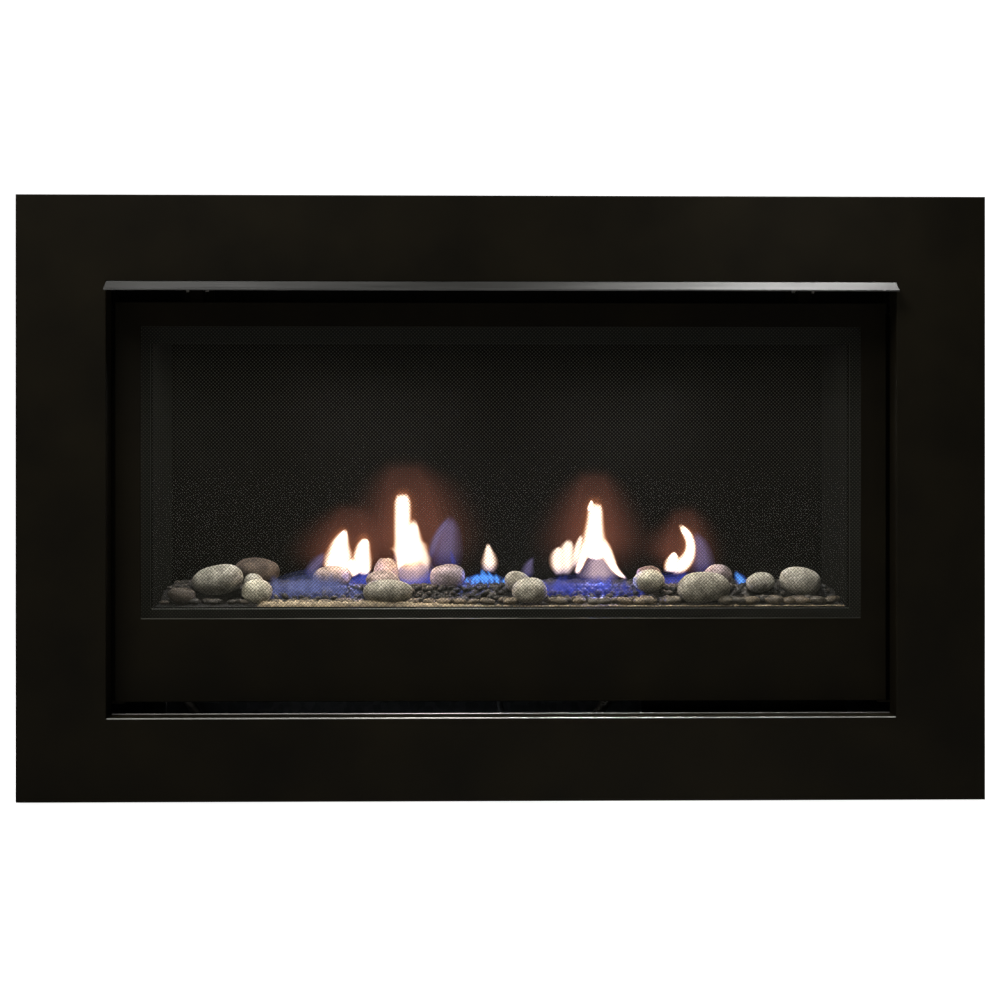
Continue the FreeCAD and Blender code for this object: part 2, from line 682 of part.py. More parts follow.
def glass_pane():
    x0, x1, z0, z1 = PANE
    y0 = GLASS_Y + GLASS_FRAME_SHEET
    return block(x0, x1, y0, y0 + GLASS_THICKNESS, z0, z1)


def glass_gasket():
    y0 = GLASS_Y + GLASS_FRAME_SHEET + GLASS_THICKNESS
    return frame_y(PANE, grown(PANE, -GASKET_WIDTH), y0, PLATE_Y)


# Glass latches
def latch():
    half = LATCH_WIDTH * HALF_SHARE
    rear = GLASS_Y - BODY_GAP
    front = rear - LATCH_ARM_SHEET
    web = LATCH_WEB_HEIGHT * HALF_SHARE
    low = GLASS_FRAME_TOP - LATCH_BITE
    x0 = LATCH_X - half
    x1 = LATCH_X + half
    hub = rod_x(LATCH_HUB_RADIUS, x0, x1, LATCH_PIVOT_Y, LATCH_PIVOT_Z)
    arm = block(x0, x1, front, rear, low, LATCH_PIVOT_Z + web)
    bridge = block(x0, x1, front, LATCH_PIVOT_Y, LATCH_PIVOT_Z - web, LATCH_PIVOT_Z + web)
    tab = block(x0, x1, front - LATCH_TAB_LENGTH, front, low, low + LATCH_TAB_SHEET)
    bore_radius = LATCH_PIN_RADIUS + HOLE_CLEARANCE
    bore = rod_x(bore_radius, x0 - CUT_OVERRUN, x1 + CUT_OVERRUN, LATCH_PIVOT_Y, LATCH_PIVOT_Z)
    return join([hub, arm, bridge, tab]).cut(bore)


def latch_bracket():
    half = LATCH_BRACKET_WIDTH * HALF_SHARE
    face = PLATE_Y - LATCH_BRACKET_SHEET
    low = LATCH_PIVOT_Z - LATCH_BRACKET_BELOW
    high = LATCH_PIVOT_Z + LATCH_BRACKET_ABOVE
    base = block(LATCH_X - half, LATCH_X + half, face, PLATE_Y, low, high)
    leaf_half = LATCH_LEAF_WIDTH * HALF_SHARE
    leaf = block(LATCH_X - leaf_half, LATCH_X + leaf_half, face - LATCH_LEAF_SHEET, face, low, high)
    ear_root = LATCH_WIDTH * HALF_SHARE + LATCH_EAR_GAP
    ear_half = LATCH_EAR_HEIGHT * HALF_SHARE
    solids = [base, leaf]
    for side in (-1, 1):
        edges = sorted((side * ear_root, side * (ear_root + LATCH_BRACKET_SHEET)))
        x0 = LATCH_X + edges[0]
        x1 = LATCH_X + edges[1]
        front = LATCH_PIVOT_Y - LATCH_EAR_FRONT
        low = LATCH_PIVOT_Z - ear_half
        solids.append(block(x0, x1, front, PLATE_Y, low, low + LATCH_EAR_HEIGHT))
    return join(solids).cut(latch_pin())


def latch_pin():
    half = LATCH_PIN_LENGTH * HALF_SHARE
    return rod_x(LATCH_PIN_RADIUS, LATCH_X - half, LATCH_X + half, LATCH_PIVOT_Y, LATCH_PIVOT_Z)


# Relief flaps
FLAP_FRONT_Y = FIREBOX_Y + FLAP_FRONT_INSET
FLAP_AXIS_Y = FLAP_FRONT_Y + FLAP_DEPTH
FLAP_AXIS_Z = FLAP_BOTTOM + KNUCKLE_RISE


def relief_flap():
    x0 = FLAP_CENTRE - FLAP_WIDTH * HALF_SHARE
    x1 = FLAP_CENTRE + FLAP_WIDTH * HALF_SHARE
    leaf = block(x0, x1, FLAP_FRONT_Y, FLAP_AXIS_Y, FLAP_BOTTOM, FLAP_BOTTOM + FLAP_SHEET)
    knuckle = rod_x(KNUCKLE_RADIUS, x0, x1, FLAP_AXIS_Y, FLAP_AXIS_Z)
    bore_radius = FLAP_PIN_RADIUS + HOLE_CLEARANCE
    bore = rod_x(bore_radius, x0 - CUT_OVERRUN, x1 + CUT_OVERRUN, FLAP_AXIS_Y, FLAP_AXIS_Z)
    return join([leaf, knuckle]).cut(bore)


def relief_pin():
    reach = FLAP_WIDTH * HALF_SHARE + FLAP_EAR_GAP + FLAP_EAR_SHEET
    return rod_x(FLAP_PIN_RADIUS, FLAP_CENTRE - reach, FLAP_CENTRE + reach, FLAP_AXIS_Y, FLAP_AXIS_Z)


def relief_ears():
    root = FLAP_WIDTH * HALF_SHARE + FLAP_EAR_GAP
    half = FLAP_EAR_DEPTH * HALF_SHARE
    top = FLAP_AXIS_Z + FLAP_EAR_ABOVE
    ears = []
    for side in (-1, 1):
        edges = sorted((side * root, side * (root + FLAP_EAR_SHEET)))
        x0 = FLAP_CENTRE + edges[0]
        x1 = FLAP_CENTRE + edges[1]
        ear = block(x0, x1, FLAP_AXIS_Y - half, FLAP_AXIS_Y + half, FIREBOX_TOP, top)
        ears.append(ear.cut(relief_pin()))
    return ears


def relief_window(grow):
    half = FLAP_WIDTH * HALF_SHARE - FLAP_OVERLAP + grow
    y0 = FLAP_FRONT_Y + FLAP_OVERLAP - grow
    y1 = FLAP_AXIS_Y - FLAP_OVERLAP + grow
    return (FLAP_CENTRE - half, FLAP_CENTRE + half, y0, y1)


def relief_opening(grow, z0, z1):
    x0, x1, y0, y1 = relief_window(grow)
    return block(x0, x1, y0, y1, z0, z1)


def firebox_gaskets():
    seat = relief_opening(FLAP_GASKET_WIDTH, FIREBOX_TOP, FLAP_BOTTOM)
    ring = seat.cut(relief_opening(0, FIREBOX_TOP - CUT_OVERRUN, FLAP_BOTTOM + CUT_OVERRUN))
    top = FIREBOX_TOP + FLUE_GASKET_THICKNESS
    inner = EXHAUST_RADIUS - COLLAR_SHEET
    flue = rod_z(EXHAUST_RADIUS + COLLAR_FLANGE_WIDTH, 0, VENT_Y, FIREBOX_TOP, top)
    flue = flue.cut(rod_z(inner, 0, VENT_Y, FIREBOX_TOP - CUT_OVERRUN, top + CUT_OVERRUN))
    return Part.makeCompound([ring, mirrored(ring), flue])


def hinge_pins():
    pins = [latch_pin(), mirrored(latch_pin()), relief_pin(), mirrored(relief_pin())]
    return Part.makeCompound(pins)


# Firebox
def firebox_slab(z0, z1):
    half = HALF_FIREBOX + FIREBOX_SHEET + FIREBOX_PLATE_OVERHANG
    return block(-half, half, FIREBOX_Y, FIREBOX_REAR_Y, z0, z1)


def firebox_floor():
    floor = firebox_slab(FIREBOX_UNDER, FIRE_FLOOR)
    hole = rod_z(VENTURI_RADIUS + HOLE_CLEARANCE, 0, BURNER_MID_Y, FIREBOX_UNDER - CUT_OVERRUN, TRAY_TOP)
    floor = floor.cut(hole).cut(pilot_cut(FIREBOX_UNDER - CUT_OVERRUN, TRAY_TOP))
    half_y = ORIFICE_BRACKET_DEPTH * HALF_SHARE
    inner = ORIFICE_BRACKET_HALF - ORIFICE_BRACKET_SHEET
    y0 = BURNER_MID_Y - half_y
    y1 = BURNER_MID_Y + half_y
    base_top = ORIFICE_SEAT
    base_bottom = ORIFICE_SEAT - ORIFICE_BRACKET_SHEET
    strap = block(-ORIFICE_BRACKET_HALF, ORIFICE_BRACKET_HALF, y0, y1, base_bottom, FIREBOX_UNDER)
    gap_top = FIREBOX_UNDER + CUT_OVERRUN
    strap = strap.cut(block(-inner, inner, y0 - CUT_OVERRUN, y1 + CUT_OVERRUN, base_top, gap_top))
    seat_radius = ORIFICE_RADIUS + HOLE_CLEARANCE
    hole_bottom = base_bottom - CUT_OVERRUN
    strap = strap.cut(rod_z(seat_radius, 0, BURNER_MID_Y, hole_bottom, base_top + CUT_OVERRUN))
    return join([floor, strap])


def firebox_wrap():
    inner = HALF_FIREBOX
    outer = HALF_FIREBOX + FIREBOX_SHEET
    shell = block(-outer, outer, FIREBOX_Y, FIREBOX_REAR_Y, FIRE_FLOOR, FIRE_CEILING)
    back = FIREBOX_REAR_Y - FIREBOX_SHEET
    low = FIRE_FLOOR - CUT_OVERRUN
    high = FIRE_CEILING + CUT_OVERRUN
    shell = shell.cut(block(-inner, inner, FIREBOX_Y - CUT_OVERRUN, back, low, high))
    half = AIR_SLOT_WIDTH * HALF_SHARE
    z0 = FIRE_FLOOR + AIR_SLOT_RISE
    for x in spread(AIR_SLOT_COUNT, AIR_SLOT_PITCH):
        y1 = FIREBOX_REAR_Y + CUT_OVERRUN
        shell = shell.cut(block(x - half, x + half, back - CUT_OVERRUN, y1, z0, z0 + AIR_SLOT_HEIGHT))
    return shell


def firebox_top():
    plate = firebox_slab(FIRE_CEILING, FIREBOX_TOP)
    low = FIRE_CEILING - CUT_OVERRUN
    high = FIREBOX_TOP + CUT_OVERRUN
    plate = plate.cut(rod_z(EXHAUST_RADIUS - COLLAR_SHEET, 0, VENT_Y, low, high))
    window = relief_opening(0, low, high)
    plate = plate.cut(window).cut(mirrored(window))
    ears = relief_ears()
    return join([plate] + ears + [mirrored(ear) for ear in ears])


def saddle():
    x0 = HALF_GLASS_FRAME + SADDLE_GAP
    x1 = x0 + SADDLE_WIDTH
    y0 = GLASS_AXIS_Y - GLASS_PIN_RADIUS - SADDLE_FRONT
    seat_radius = GLASS_PIN_RADIUS + HOLE_CLEARANCE
    seat = rod_x(seat_radius, x0 - CUT_OVERRUN, x1 + CUT_OVERRUN, GLASS_AXIS_Y, GLASS_FRAME_BOTTOM)
    return block(x0, x1, y0, PLATE_Y, PLATE_BOTTOM, GLASS_FRAME_BOTTOM).cut(seat)


def firebox_front_plate():
    outline = (-HALF_PLATE, HALF_PLATE, PLATE_BOTTOM, PLATE_TOP)
    plate = frame_y(outline, VIEW, PLATE_Y, FIREBOX_Y)
    return join([plate, saddle(), mirrored(saddle())])


def firebox_stands():
    x1 = HALF_FIREBOX - STAND_INSET
    x0 = x1 - STAND_FLANGE
    y0 = FIREBOX_Y + STAND_FRONT_INSET
    y1 = FIREBOX_REAR_Y - STAND_REAR_INSET
    points = [
        (x0, PAN_TOP),
        (x1, PAN_TOP),
        (x1, FIREBOX_UNDER),
        (x0, FIREBOX_UNDER),
        (x0, FIREBOX_UNDER - STAND_SHEET),
        (x1 - STAND_SHEET, FIREBOX_UNDER - STAND_SHEET),
        (x1 - STAND_SHEET, PAN_TOP + STAND_SHEET),
        (x0, PAN_TOP + STAND_SHEET),
    ]
    return mirror_pair(sheet_y(points, y0, y1))


def flue_baffle():
    half = BAFFLE_WIDTH * HALF_SHARE
    half_y = BAFFLE_DEPTH * HALF_SHARE
    low = FIRE_CEILING - BAFFLE_DROP
    inner = half - BAFFLE_SHEET
    outer = half + BAFFLE_FLANGE
    points = [
        (-outer, FIRE_CEILING),
        (-outer, FIRE_CEILING - BAFFLE_SHEET),
        (-half, FIRE_CEILING - BAFFLE_SHEET),
        (-half, low),
        (half, low),
        (half, FIRE_CEILING - BAFFLE_SHEET),
        (outer, FIRE_CEILING - BAFFLE_SHEET),
        (outer, FIRE_CEILING),
        (inner, FIRE_CEILING),
        (inner, low + BAFFLE_SHEET),
        (-inner, low + BAFFLE_SHEET),
        (-inner, FIRE_CEILING),
    ]
    return sheet_y(points, VENT_Y - half_y, VENT_Y + half_y)


# Vent collars and air duct
def collar(radius, z0, z1):
    tube = rod_z(radius, 0, VENT_Y, z0, z1)
    flange = rod_z(radius + COLLAR_FLANGE_WIDTH, 0, VENT_Y, z0, z0 + COLLAR_FLANGE_SHEET)
    bore = rod_z(radius - COLLAR_SHEET, 0, VENT_Y, z0 - CUT_OVERRUN, z1 + CUT_OVERRUN)
    return join([tube, flange]).cut(bore)


def exhaust_collar():
    z0 = FIREBOX_TOP + FLUE_GASKET_THICKNESS
    return collar(EXHAUST_RADIUS, z0, z0 + EXHAUST_HEIGHT)


def intake_collar():
    return collar(INTAKE_RADIUS, CASING_TOP, CASING_TOP + INTAKE_HEIGHT)


def intake_air_duct():
    outer = DUCT_HALF_WIDTH
    inner = DUCT_HALF_WIDTH - DUCT_SHEET
    front = VENT_Y - INTAKE_RADIUS - DUCT_FRONT_MARGIN
    hood = block(-outer, outer, front, FIREBOX_REAR_Y, FIREBOX_TOP, CASING_UNDER_TOP)
    hood_room_rear = FIREBOX_REAR_Y + CUT_OVERRUN
    low = FIREBOX_TOP - CUT_OVERRUN
    high = CASING_UNDER_TOP + CUT_OVERRUN
    hood = hood.cut(block(-inner, inner, front + DUCT_SHEET, hood_room_rear, low, high))
    rear = CASING_INNER_REAR_Y
    bottom = FIRE_FLOOR
    drop = block(-outer, outer, FIREBOX_REAR_Y, rear, bottom, CASING_UNDER_TOP)
    room_front = FIREBOX_REAR_Y - CUT_OVERRUN
    drop = drop.cut(block(-inner, inner, room_front, rear - DUCT_SHEET, bottom + DUCT_SHEET, high))
    return Part.makeCompound([hood, drop])


# Casing
def screw_body():
    shank = rod_z(SCREW_SHANK_RADIUS, 0, 0, -SCREW_LENGTH, 0)
    washer = rod_z(SCREW_WASHER_RADIUS, 0, 0, 0, SCREW_WASHER_HEIGHT)
    corners = []
    for side in range(HEX_SIDES):
        angle = math.radians(side * FULL_TURN / HEX_SIDES)
        corners.append((SCREW_HEX_RADIUS * math.cos(angle), SCREW_HEX_RADIUS * math.sin(angle)))
    return join([shank, washer, sheet_z(corners, SCREW_WASHER_HEIGHT, SCREW_HEAD)])


def back_screw_places():
    x = HALF_CASING - SCREW_EDGE
    heights = even(PAN_TOP + SCREW_ROW_END, CASING_UNDER_TOP - SCREW_ROW_END, SCREW_ROWS)
    return [(side * x, z) for side in (-1, 1) for z in heights]


def top_screw_places():
    x = HALF_CASING - SCREW_EDGE
    rows = even(CASING_INNER_FRONT_Y + SCREW_ROW_END, CASING_INNER_REAR_Y - SCREW_ROW_END, SCREW_TOP_COUNT)
    return [(side * x, y) for side in (-1, 1) for y in rows]


def casing_screws():
    quarter_turn = FULL_TURN * QUARTER_SHARE
    solids = []
    for x, z in back_screw_places():
        screw = screw_body()
        screw.rotate(Vector(0, 0, 0), Vector(1, 0, 0), -quarter_turn)
        screw.translate(Vector(x, CASING_REAR_Y, z))
        solids.append(screw)
    for x, y in top_screw_places():
        screw = screw_body()
        screw.translate(Vector(x, y, CASING_TOP))
        solids.append(screw)
    return Part.makeCompound(solids)


def without_screw_holes(shape):
    radius = SCREW_SHANK_RADIUS + HOLE_CLEARANCE
    drills = []
    for x, z in back_screw_places():
        drills.append(rod_y(radius, x, CASING_REAR_Y - SCREW_LENGTH, CASING_REAR_Y + CUT_OVERRUN, z))
    for x, y in top_screw_places():
        drills.append(rod_z(radius, x, y, CASING_TOP - SCREW_LENGTH, CASING_TOP + CUT_OVERRUN))
    return shape.cut(Part.makeCompound(drills))


def casing_side():
    x0 = HALF_CASING - CASING_FLANGE
    x1 = HALF_CASING
    y0 = CASING_INNER_FRONT_Y
    y1 = CASING_INNER_REAR_Y
    pan = block(x0, x1, y0, y1, PAN_TOP, CASING_UNDER_TOP)
    room = block(
        x0 - CUT_OVERRUN,
        x1 - CASING_SHEET,
        y0 + CASING_SHEET,
        y1 - CASING_SHEET,
        PAN_TOP + CASING_SHEET,
        CASING_UNDER_TOP - CASING_SHEET,
    )
    return without_screw_holes(pan.cut(room))


def casing_right_side():
    return casing_side()


def casing_left_side():
    side = mirrored(casing_side())
    radius = INLET_RADIUS + HOLE_CLEARANCE
    x0 = -HALF_CASING - CUT_OVERRUN
    return side.cut(rod_x(radius, x0, -HALF_CASING + CUT_OVERRUN, INLET_Y, INLET_LIFT))


def embossing(x, amount, y):
    points_near = []
    points_far = []
    mid = (PAN_TOP + CASING_UNDER_TOP) * HALF_SHARE
    for side_x, side_z in ((-1, -1), (1, -1), (1, 1), (-1, 1)):
        half_x = EMBOSS_WIDTH * HALF_SHARE - amount
        half_z = EMBOSS_HEIGHT * HALF_SHARE - amount
        points_near.append(Vector(x + side_x * half_x, y, mid + side_z * half_z))
        draft_x = half_x - EMBOSS_DRAFT
        draft_z = half_z - EMBOSS_DRAFT
        points_far.append(Vector(x + side_x * draft_x, y + EMBOSS_DEPTH, mid + side_z * draft_z))
    near = Part.makePolygon(points_near + points_near[:1])
    far = Part.makePolygon(points_far + points_far[:1])
    return Part.makeLoft([near, far], True, True)


def casing_back_panel():
    y0 = CASING_INNER_REAR_Y
    panel = block(-HALF_CASING, HALF_CASING, y0, CASING_REAR_Y, RAIL_HEIGHT, CASING_TOP)
    for x in (-EMBOSS_CENTRE, EMBOSS_CENTRE):
        panel = panel.fuse(embossing(x, 0, CASING_REAR_Y))
        panel = panel.cut(embossing(x, CASING_SHEET, y0))
    return without_screw_holes(panel.removeSplitter())


def casing_base_pan():
    return block(-HALF_CASING, HALF_CASING, CASING_INNER_FRONT_Y, CASING_INNER_REAR_Y, RAIL_HEIGHT, PAN_TOP)


def casing_top_panel():
    y0 = CASING_INNER_FRONT_Y
    panel = block(-HALF_CASING, HALF_CASING, y0, CASING_INNER_REAR_Y, CASING_UNDER_TOP, CASING_TOP)
    low = CASING_UNDER_TOP - CUT_OVERRUN
    panel = panel.cut(rod_z(INTAKE_RADIUS - COLLAR_SHEET, 0, VENT_Y, low, CASING_TOP + CUT_OVERRUN))
    return without_screw_holes(panel)


def casing_front_frame():
    outline = (-HALF_CASING, HALF_CASING, RAIL_HEIGHT, CASING_TOP)
    hole = grown(OPENING, SURROUND_SHEET + CASING_RETURN_GAP)
    return frame_y(outline, hole, CASING_FRONT_Y, CASING_INNER_FRONT_Y)


def hat_points(centre, width, foot, sheet, low, high):
    half = width * HALF_SHARE
    inner = half - sheet
    outline = [
        (-half - foot, low),
        (-inner, low),
        (-inner, high - sheet),
        (inner, high - sheet),
        (inner, low),
        (half + foot, low),
        (half + foot, low + sheet),
        (half, low + sheet),
        (half, high),
        (-half, high),
        (-half, low + sheet),
        (-half - foot, low + sheet),
    ]
    return [(centre + x, z) for x, z in outline]


def base_rails():
    points = hat_points(RAIL_CENTRE, RAIL_WIDTH, RAIL_FOOT, RAIL_SHEET, 0, RAIL_HEIGHT)
    y0 = CASING_INNER_FRONT_Y + RAIL_END_INSET
    return mirror_pair(sheet_y(points, y0, CASING_INNER_REAR_Y - RAIL_END_INSET))


def top_standoffs():
    high = CASING_TOP + STANDOFF_HEIGHT
    points = hat_points(STANDOFF_CENTRE, STANDOFF_WIDTH, STANDOFF_FOOT, STANDOFF_SHEET, CASING_TOP, high)
    y0 = CASING_INNER_FRONT_Y + STANDOFF_FRONT_INSET
    return mirror_pair(sheet_y(points, y0, CASING_INNER_REAR_Y - STANDOFF_REAR_INSET))


def nailing_flanges():
    y0 = CASING_FRONT_Y + FLANGE_SETBACK
    y1 = y0 + FLANGE_SHEET
    x0 = HALF_CASING
    x1 = HALF_CASING + FLANGE_SHEET
    points = [
        (x0, y0),
        (x0 + FLANGE_REACH, y0),
        (x0 + FLANGE_REACH, y1),
        (x1, y1),
        (x1, y0 + FLANGE_LEG),
        (x0, y0 + FLANGE_LEG),
    ]
    flange = sheet_z(points, FLANGE_LIFT, FLANGE_LIFT + FLANGE_HEIGHT)
    for z in (FLANGE_LIFT + FLANGE_HOLE_INSET, FLANGE_LIFT + FLANGE_HEIGHT - FLANGE_HOLE_INSET):
        x = HALF_CASING + FLANGE_HOLE_REACH
        flange = flange.cut(rod_y(FLANGE_HOLE_RADIUS, x, y0 - CUT_OVERRUN, y1 + CUT_OVERRUN, z))
    return mirror_pair(flange)


# Fire bed
def pilot_cut(z0, z1):
    half_x = PILOT_CUT_LENGTH * HALF_SHARE
    half_y = PILOT_CUT_DEPTH * HALF_SHARE
    return block(PILOT_ACROSS - half_x, PILOT_ACROSS + half_x, PILOT_Y - half_y, PILOT_Y + half_y, z0, z1)


def burner_block(grow, z0, z1):
    half = BURNER_LENGTH * HALF_SHARE + grow
    return block(-half, half, BURNER_Y - grow, BURNER_Y + BURNER_DEPTH + grow, z0, z1)


def media_tray():
    y0 = FIREBOX_Y + TRAY_END_GAP
    y1 = FIREBOX_REAR_Y - FIREBOX_SHEET - TRAY_END_GAP
    tray = block(-HALF_TRAY, HALF_TRAY, y0, y1, FIRE_FLOOR, TRAY_TOP)
    room = block(
        -HALF_TRAY + TRAY_SHEET,
        HALF_TRAY - TRAY_SHEET,
        y0 + TRAY_SHEET,
        y1 - TRAY_SHEET,
        FIRE_FLOOR - CUT_OVERRUN,
        TRAY_TOP - TRAY_SHEET,
    )
    tray = tray.cut(room).cut(burner_block(BURNER_CUT_GAP, FIRE_FLOOR, TRAY_TOP + CUT_OVERRUN))
    return tray.cut(pilot_cut(FIRE_FLOOR, TRAY_TOP + CUT_OVERRUN))


def burner_pan():
    shell = burner_block(0, FIRE_FLOOR, BURNER_TOP)
    shell = shell.cut(burner_block(-BURNER_SHEET, FIRE_FLOOR + BURNER_SHEET, BURNER_TOP - BURNER_SHEET))
    inlet = VENTURI_RADIUS - VENTURI_SHEET
    drills = [rod_z(inlet, 0, BURNER_MID_Y, FIRE_FLOOR - CUT_OVERRUN, FIRE_FLOOR + CUT_OVERRUN)]
    for row in spread(PORT_ROWS, PORT_ROW_PITCH):
        for x in spread(PORT_COUNT, PORT_PITCH):
            y = BURNER_MID_Y + row
            drills.append(rod_z(PORT_RADIUS, x, y, BURNER_TOP - CUT_OVERRUN, BURNER_TOP + CUT_OVERRUN))
    return shell.cut(Part.makeCompound(drills))


HALF_BED = HALF_FIREBOX - BED_SIDE_GAP
BED_FRONT_Y = FIREBOX_Y + BED_END_GAP
BED_REAR_Y = FIREBOX_REAR_Y - FIREBOX_SHEET - BED_END_GAP
BED_RAMP_Y = BED_FRONT_Y + BED_STRIP_DEPTH
BED_CREST_Y = BED_RAMP_Y + BED_RAMP_DEPTH
BED_SLOPE = (BED_REAR_THICKNESS - BED_FRONT_THICKNESS) / BED_RAMP_DEPTH


def bed_height(y):
    climb = min(max(y - BED_RAMP_Y, 0), BED_RAMP_DEPTH)
    return TRAY_TOP + BED_FRONT_THICKNESS + BED_SLOPE * climb


def pebble_bed():
    points = [
        (BED_FRONT_Y, TRAY_TOP),
        (BED_REAR_Y, TRAY_TOP),
        (BED_REAR_Y, bed_height(BED_REAR_Y)),
        (BED_CREST_Y, bed_height(BED_CREST_Y)),
        (BED_RAMP_Y, bed_height(BED_RAMP_Y)),
        (BED_FRONT_Y, bed_height(BED_FRONT_Y)),
    ]
    bed = sheet_x(points, -HALF_BED, HALF_BED)
    rims = [edge for edge in bed.Edges if edge.BoundBox.ZMin > TRAY_TOP + HOLE_CLEARANCE]
    bed = bed.makeFillet(BED_EDGE_RADIUS, rims)
    bed = bed.cut(burner_block(BURNER_CUT_GAP, TRAY_TOP - CUT_OVERRUN, BURNER_TOP))
    half_x = PILOT_PLATE_LENGTH * HALF_SHARE + BODY_GAP
    half_y = PILOT_PLATE_DEPTH * HALF_SHARE + BODY_GAP
    top = bed_height(BED_REAR_Y) + CUT_OVERRUN
    x0 = PILOT_ACROSS - half_x
    x1 = PILOT_ACROSS + half_x
    return bed.cut(block(x0, x1, PILOT_Y - half_y, PILOT_Y + half_y, TRAY_TOP, top))


def river_stone(across_share, back_share, width_share, depth_share, height_share, turn):
    half_x = STONE_HALF_LENGTH * width_share
    half_y = STONE_HALF_LENGTH * depth_share
    half_z = STONE_HALF_LENGTH * height_share
    stone = Part.makeSphere(1)
    stretch = Matrix()
    stretch.A11 = half_x
    stretch.A22 = half_y
    stretch.A33 = half_z
    stone = stone.transformGeometry(stretch)
    stone.rotate(Vector(0, 0, 0), Vector(0, 0, 1), turn)
    bearing = math.radians(turn)
    depth_reach = math.hypot(half_x * math.sin(bearing), half_y * math.cos(bearing))
    x = HALF_BED * across_share
    y = BED_FRONT_Y + (BED_REAR_Y - BED_FRONT_Y) * back_share
    slope = BED_SLOPE if BED_RAMP_Y < y < BED_CREST_Y else 0
    rise = math.hypot(half_z, depth_reach * slope) + ROCK_SEAT_GAP
    stone.translate(Vector(x, y, bed_height(y) + rise))
    return stone


def river_stones():
    return Part.makeCompound([river_stone(*stone) for stone in RIVER_STONE_SHARES])


# Venturi, shutter and orifice
def air_windows(z0):
    half = AIR_WINDOW_WIDTH * HALF_SHARE
    reach = VENTURI_RIM_RADIUS + CUT_OVERRUN
    low = z0 + AIR_WINDOW_RISE - VENTURI_RIM_HEIGHT
    return block(-half, half, BURNER_MID_Y - reach, BURNER_MID_Y + reach, low, low + AIR_WINDOW_HEIGHT)


SHUTTER_BOTTOM = VENTURI_BOTTOM + VENTURI_RIM_HEIGHT + BODY_GAP


def venturi_tube():
    tube = rod_z(VENTURI_RADIUS, 0, BURNER_MID_Y, VENTURI_BOTTOM, FIRE_FLOOR)
    rim = rod_z(VENTURI_RIM_RADIUS, 0, BURNER_MID_Y, VENTURI_BOTTOM, VENTURI_BOTTOM + VENTURI_RIM_HEIGHT)
    inner = VENTURI_RADIUS - VENTURI_SHEET
    bore = rod_z(inner, 0, BURNER_MID_Y, VENTURI_BOTTOM - CUT_OVERRUN, FIRE_FLOOR + CUT_OVERRUN)
    return join([tube, rim]).cut(bore).cut(air_windows(SHUTTER_BOTTOM))


def air_shutter():
    inner = VENTURI_RADIUS + HOLE_CLEARANCE
    outer = inner + SHUTTER_SHEET
    high = SHUTTER_BOTTOM + SHUTTER_HEIGHT
    sleeve = rod_z(outer, 0, BURNER_MID_Y, SHUTTER_BOTTOM, high)
    half = SHUTTER_TAB_WIDTH * HALF_SHARE
    tip = outer + SHUTTER_TAB_REACH
    tab = block(0, tip, BURNER_MID_Y - half, BURNER_MID_Y + half, high - SHUTTER_TAB_SHEET, high)
    bore = rod_z(inner, 0, BURNER_MID_Y, SHUTTER_BOTTOM - CUT_OVERRUN, high + CUT_OVERRUN)
    return join([sleeve, tab]).cut(bore).cut(air_windows(SHUTTER_BOTTOM))


def burner_orifice():
    low = ORIFICE_SEAT - ORIFICE_LENGTH
    shoulder_top = ORIFICE_SEAT + ORIFICE_SHOULDER_HEIGHT
    body = rod_z(ORIFICE_RADIUS, 0, BURNER_MID_Y, low, shoulder_top)
    shoulder = rod_z(ORIFICE_SHOULDER_RADIUS, 0, BURNER_MID_Y, ORIFICE_SEAT, shoulder_top)
    nozzle = rod_z(NOZZLE_RADIUS, 0, BURNER_MID_Y, shoulder_top, shoulder_top + NOZZLE_LENGTH)
    return join([body, shoulder, nozzle])


# Pilot
PILOT_PLATE_TOP = TRAY_TOP + PILOT_PLATE_SHEET
PILOT_LOW = FIREBOX_UNDER - PILOT_BODY_DROP
ELECTRODE_X = PILOT_ACROSS + SENSOR_PITCH
THERMOPILE_X = PILOT_ACROSS - SENSOR_PITCH


def pilot_burner():
    half_x = PILOT_PLATE_LENGTH * HALF_SHARE
    half_y = PILOT_PLATE_DEPTH * HALF_SHARE
    x0 = PILOT_ACROSS - half_x
    x1 = x0 + PILOT_PLATE_LENGTH
    plate = block(x0, x1, PILOT_Y - half_y, PILOT_Y + half_y, TRAY_TOP, PILOT_PLATE_TOP)
    low = PILOT_LOW - CUT_OVERRUN
    high = PILOT_PLATE_TOP + CUT_OVERRUN
    for x, radius in ((THERMOPILE_X, THERMOPILE_RADIUS), (ELECTRODE_X, ELECTRODE_RADIUS)):
        plate = plate.cut(rod_z(radius + HOLE_CLEARANCE, x, PILOT_Y, low, high))
    body = rod_z(PILOT_BODY_RADIUS, PILOT_ACROSS, PILOT_Y, PILOT_LOW, PILOT_PLATE_TOP + PILOT_RISE)
    head_low = PILOT_PLATE_TOP + PILOT_RISE - PILOT_HEAD_HEIGHT
    head = rod_z(PILOT_HEAD_RADIUS, PILOT_ACROSS, PILOT_Y, head_low, PILOT_PLATE_TOP + PILOT_RISE)
    hood_top = PILOT_PLATE_TOP + PILOT_RISE + PILOT_HOOD_SHEET
    hood_half = PILOT_HEAD_RADIUS
    hood = block(
        PILOT_ACROSS - hood_half,
        PILOT_ACROSS + hood_half,
        PILOT_Y - PILOT_HOOD_LENGTH,
        PILOT_Y + hood_half,
        PILOT_PLATE_TOP + PILOT_RISE,
        hood_top,
    )
    return join([plate, body, head, hood])


def flame_sensor():
    return rod_z(THERMOPILE_RADIUS, THERMOPILE_X, PILOT_Y, PILOT_LOW, PILOT_PLATE_TOP + SENSOR_RISE)


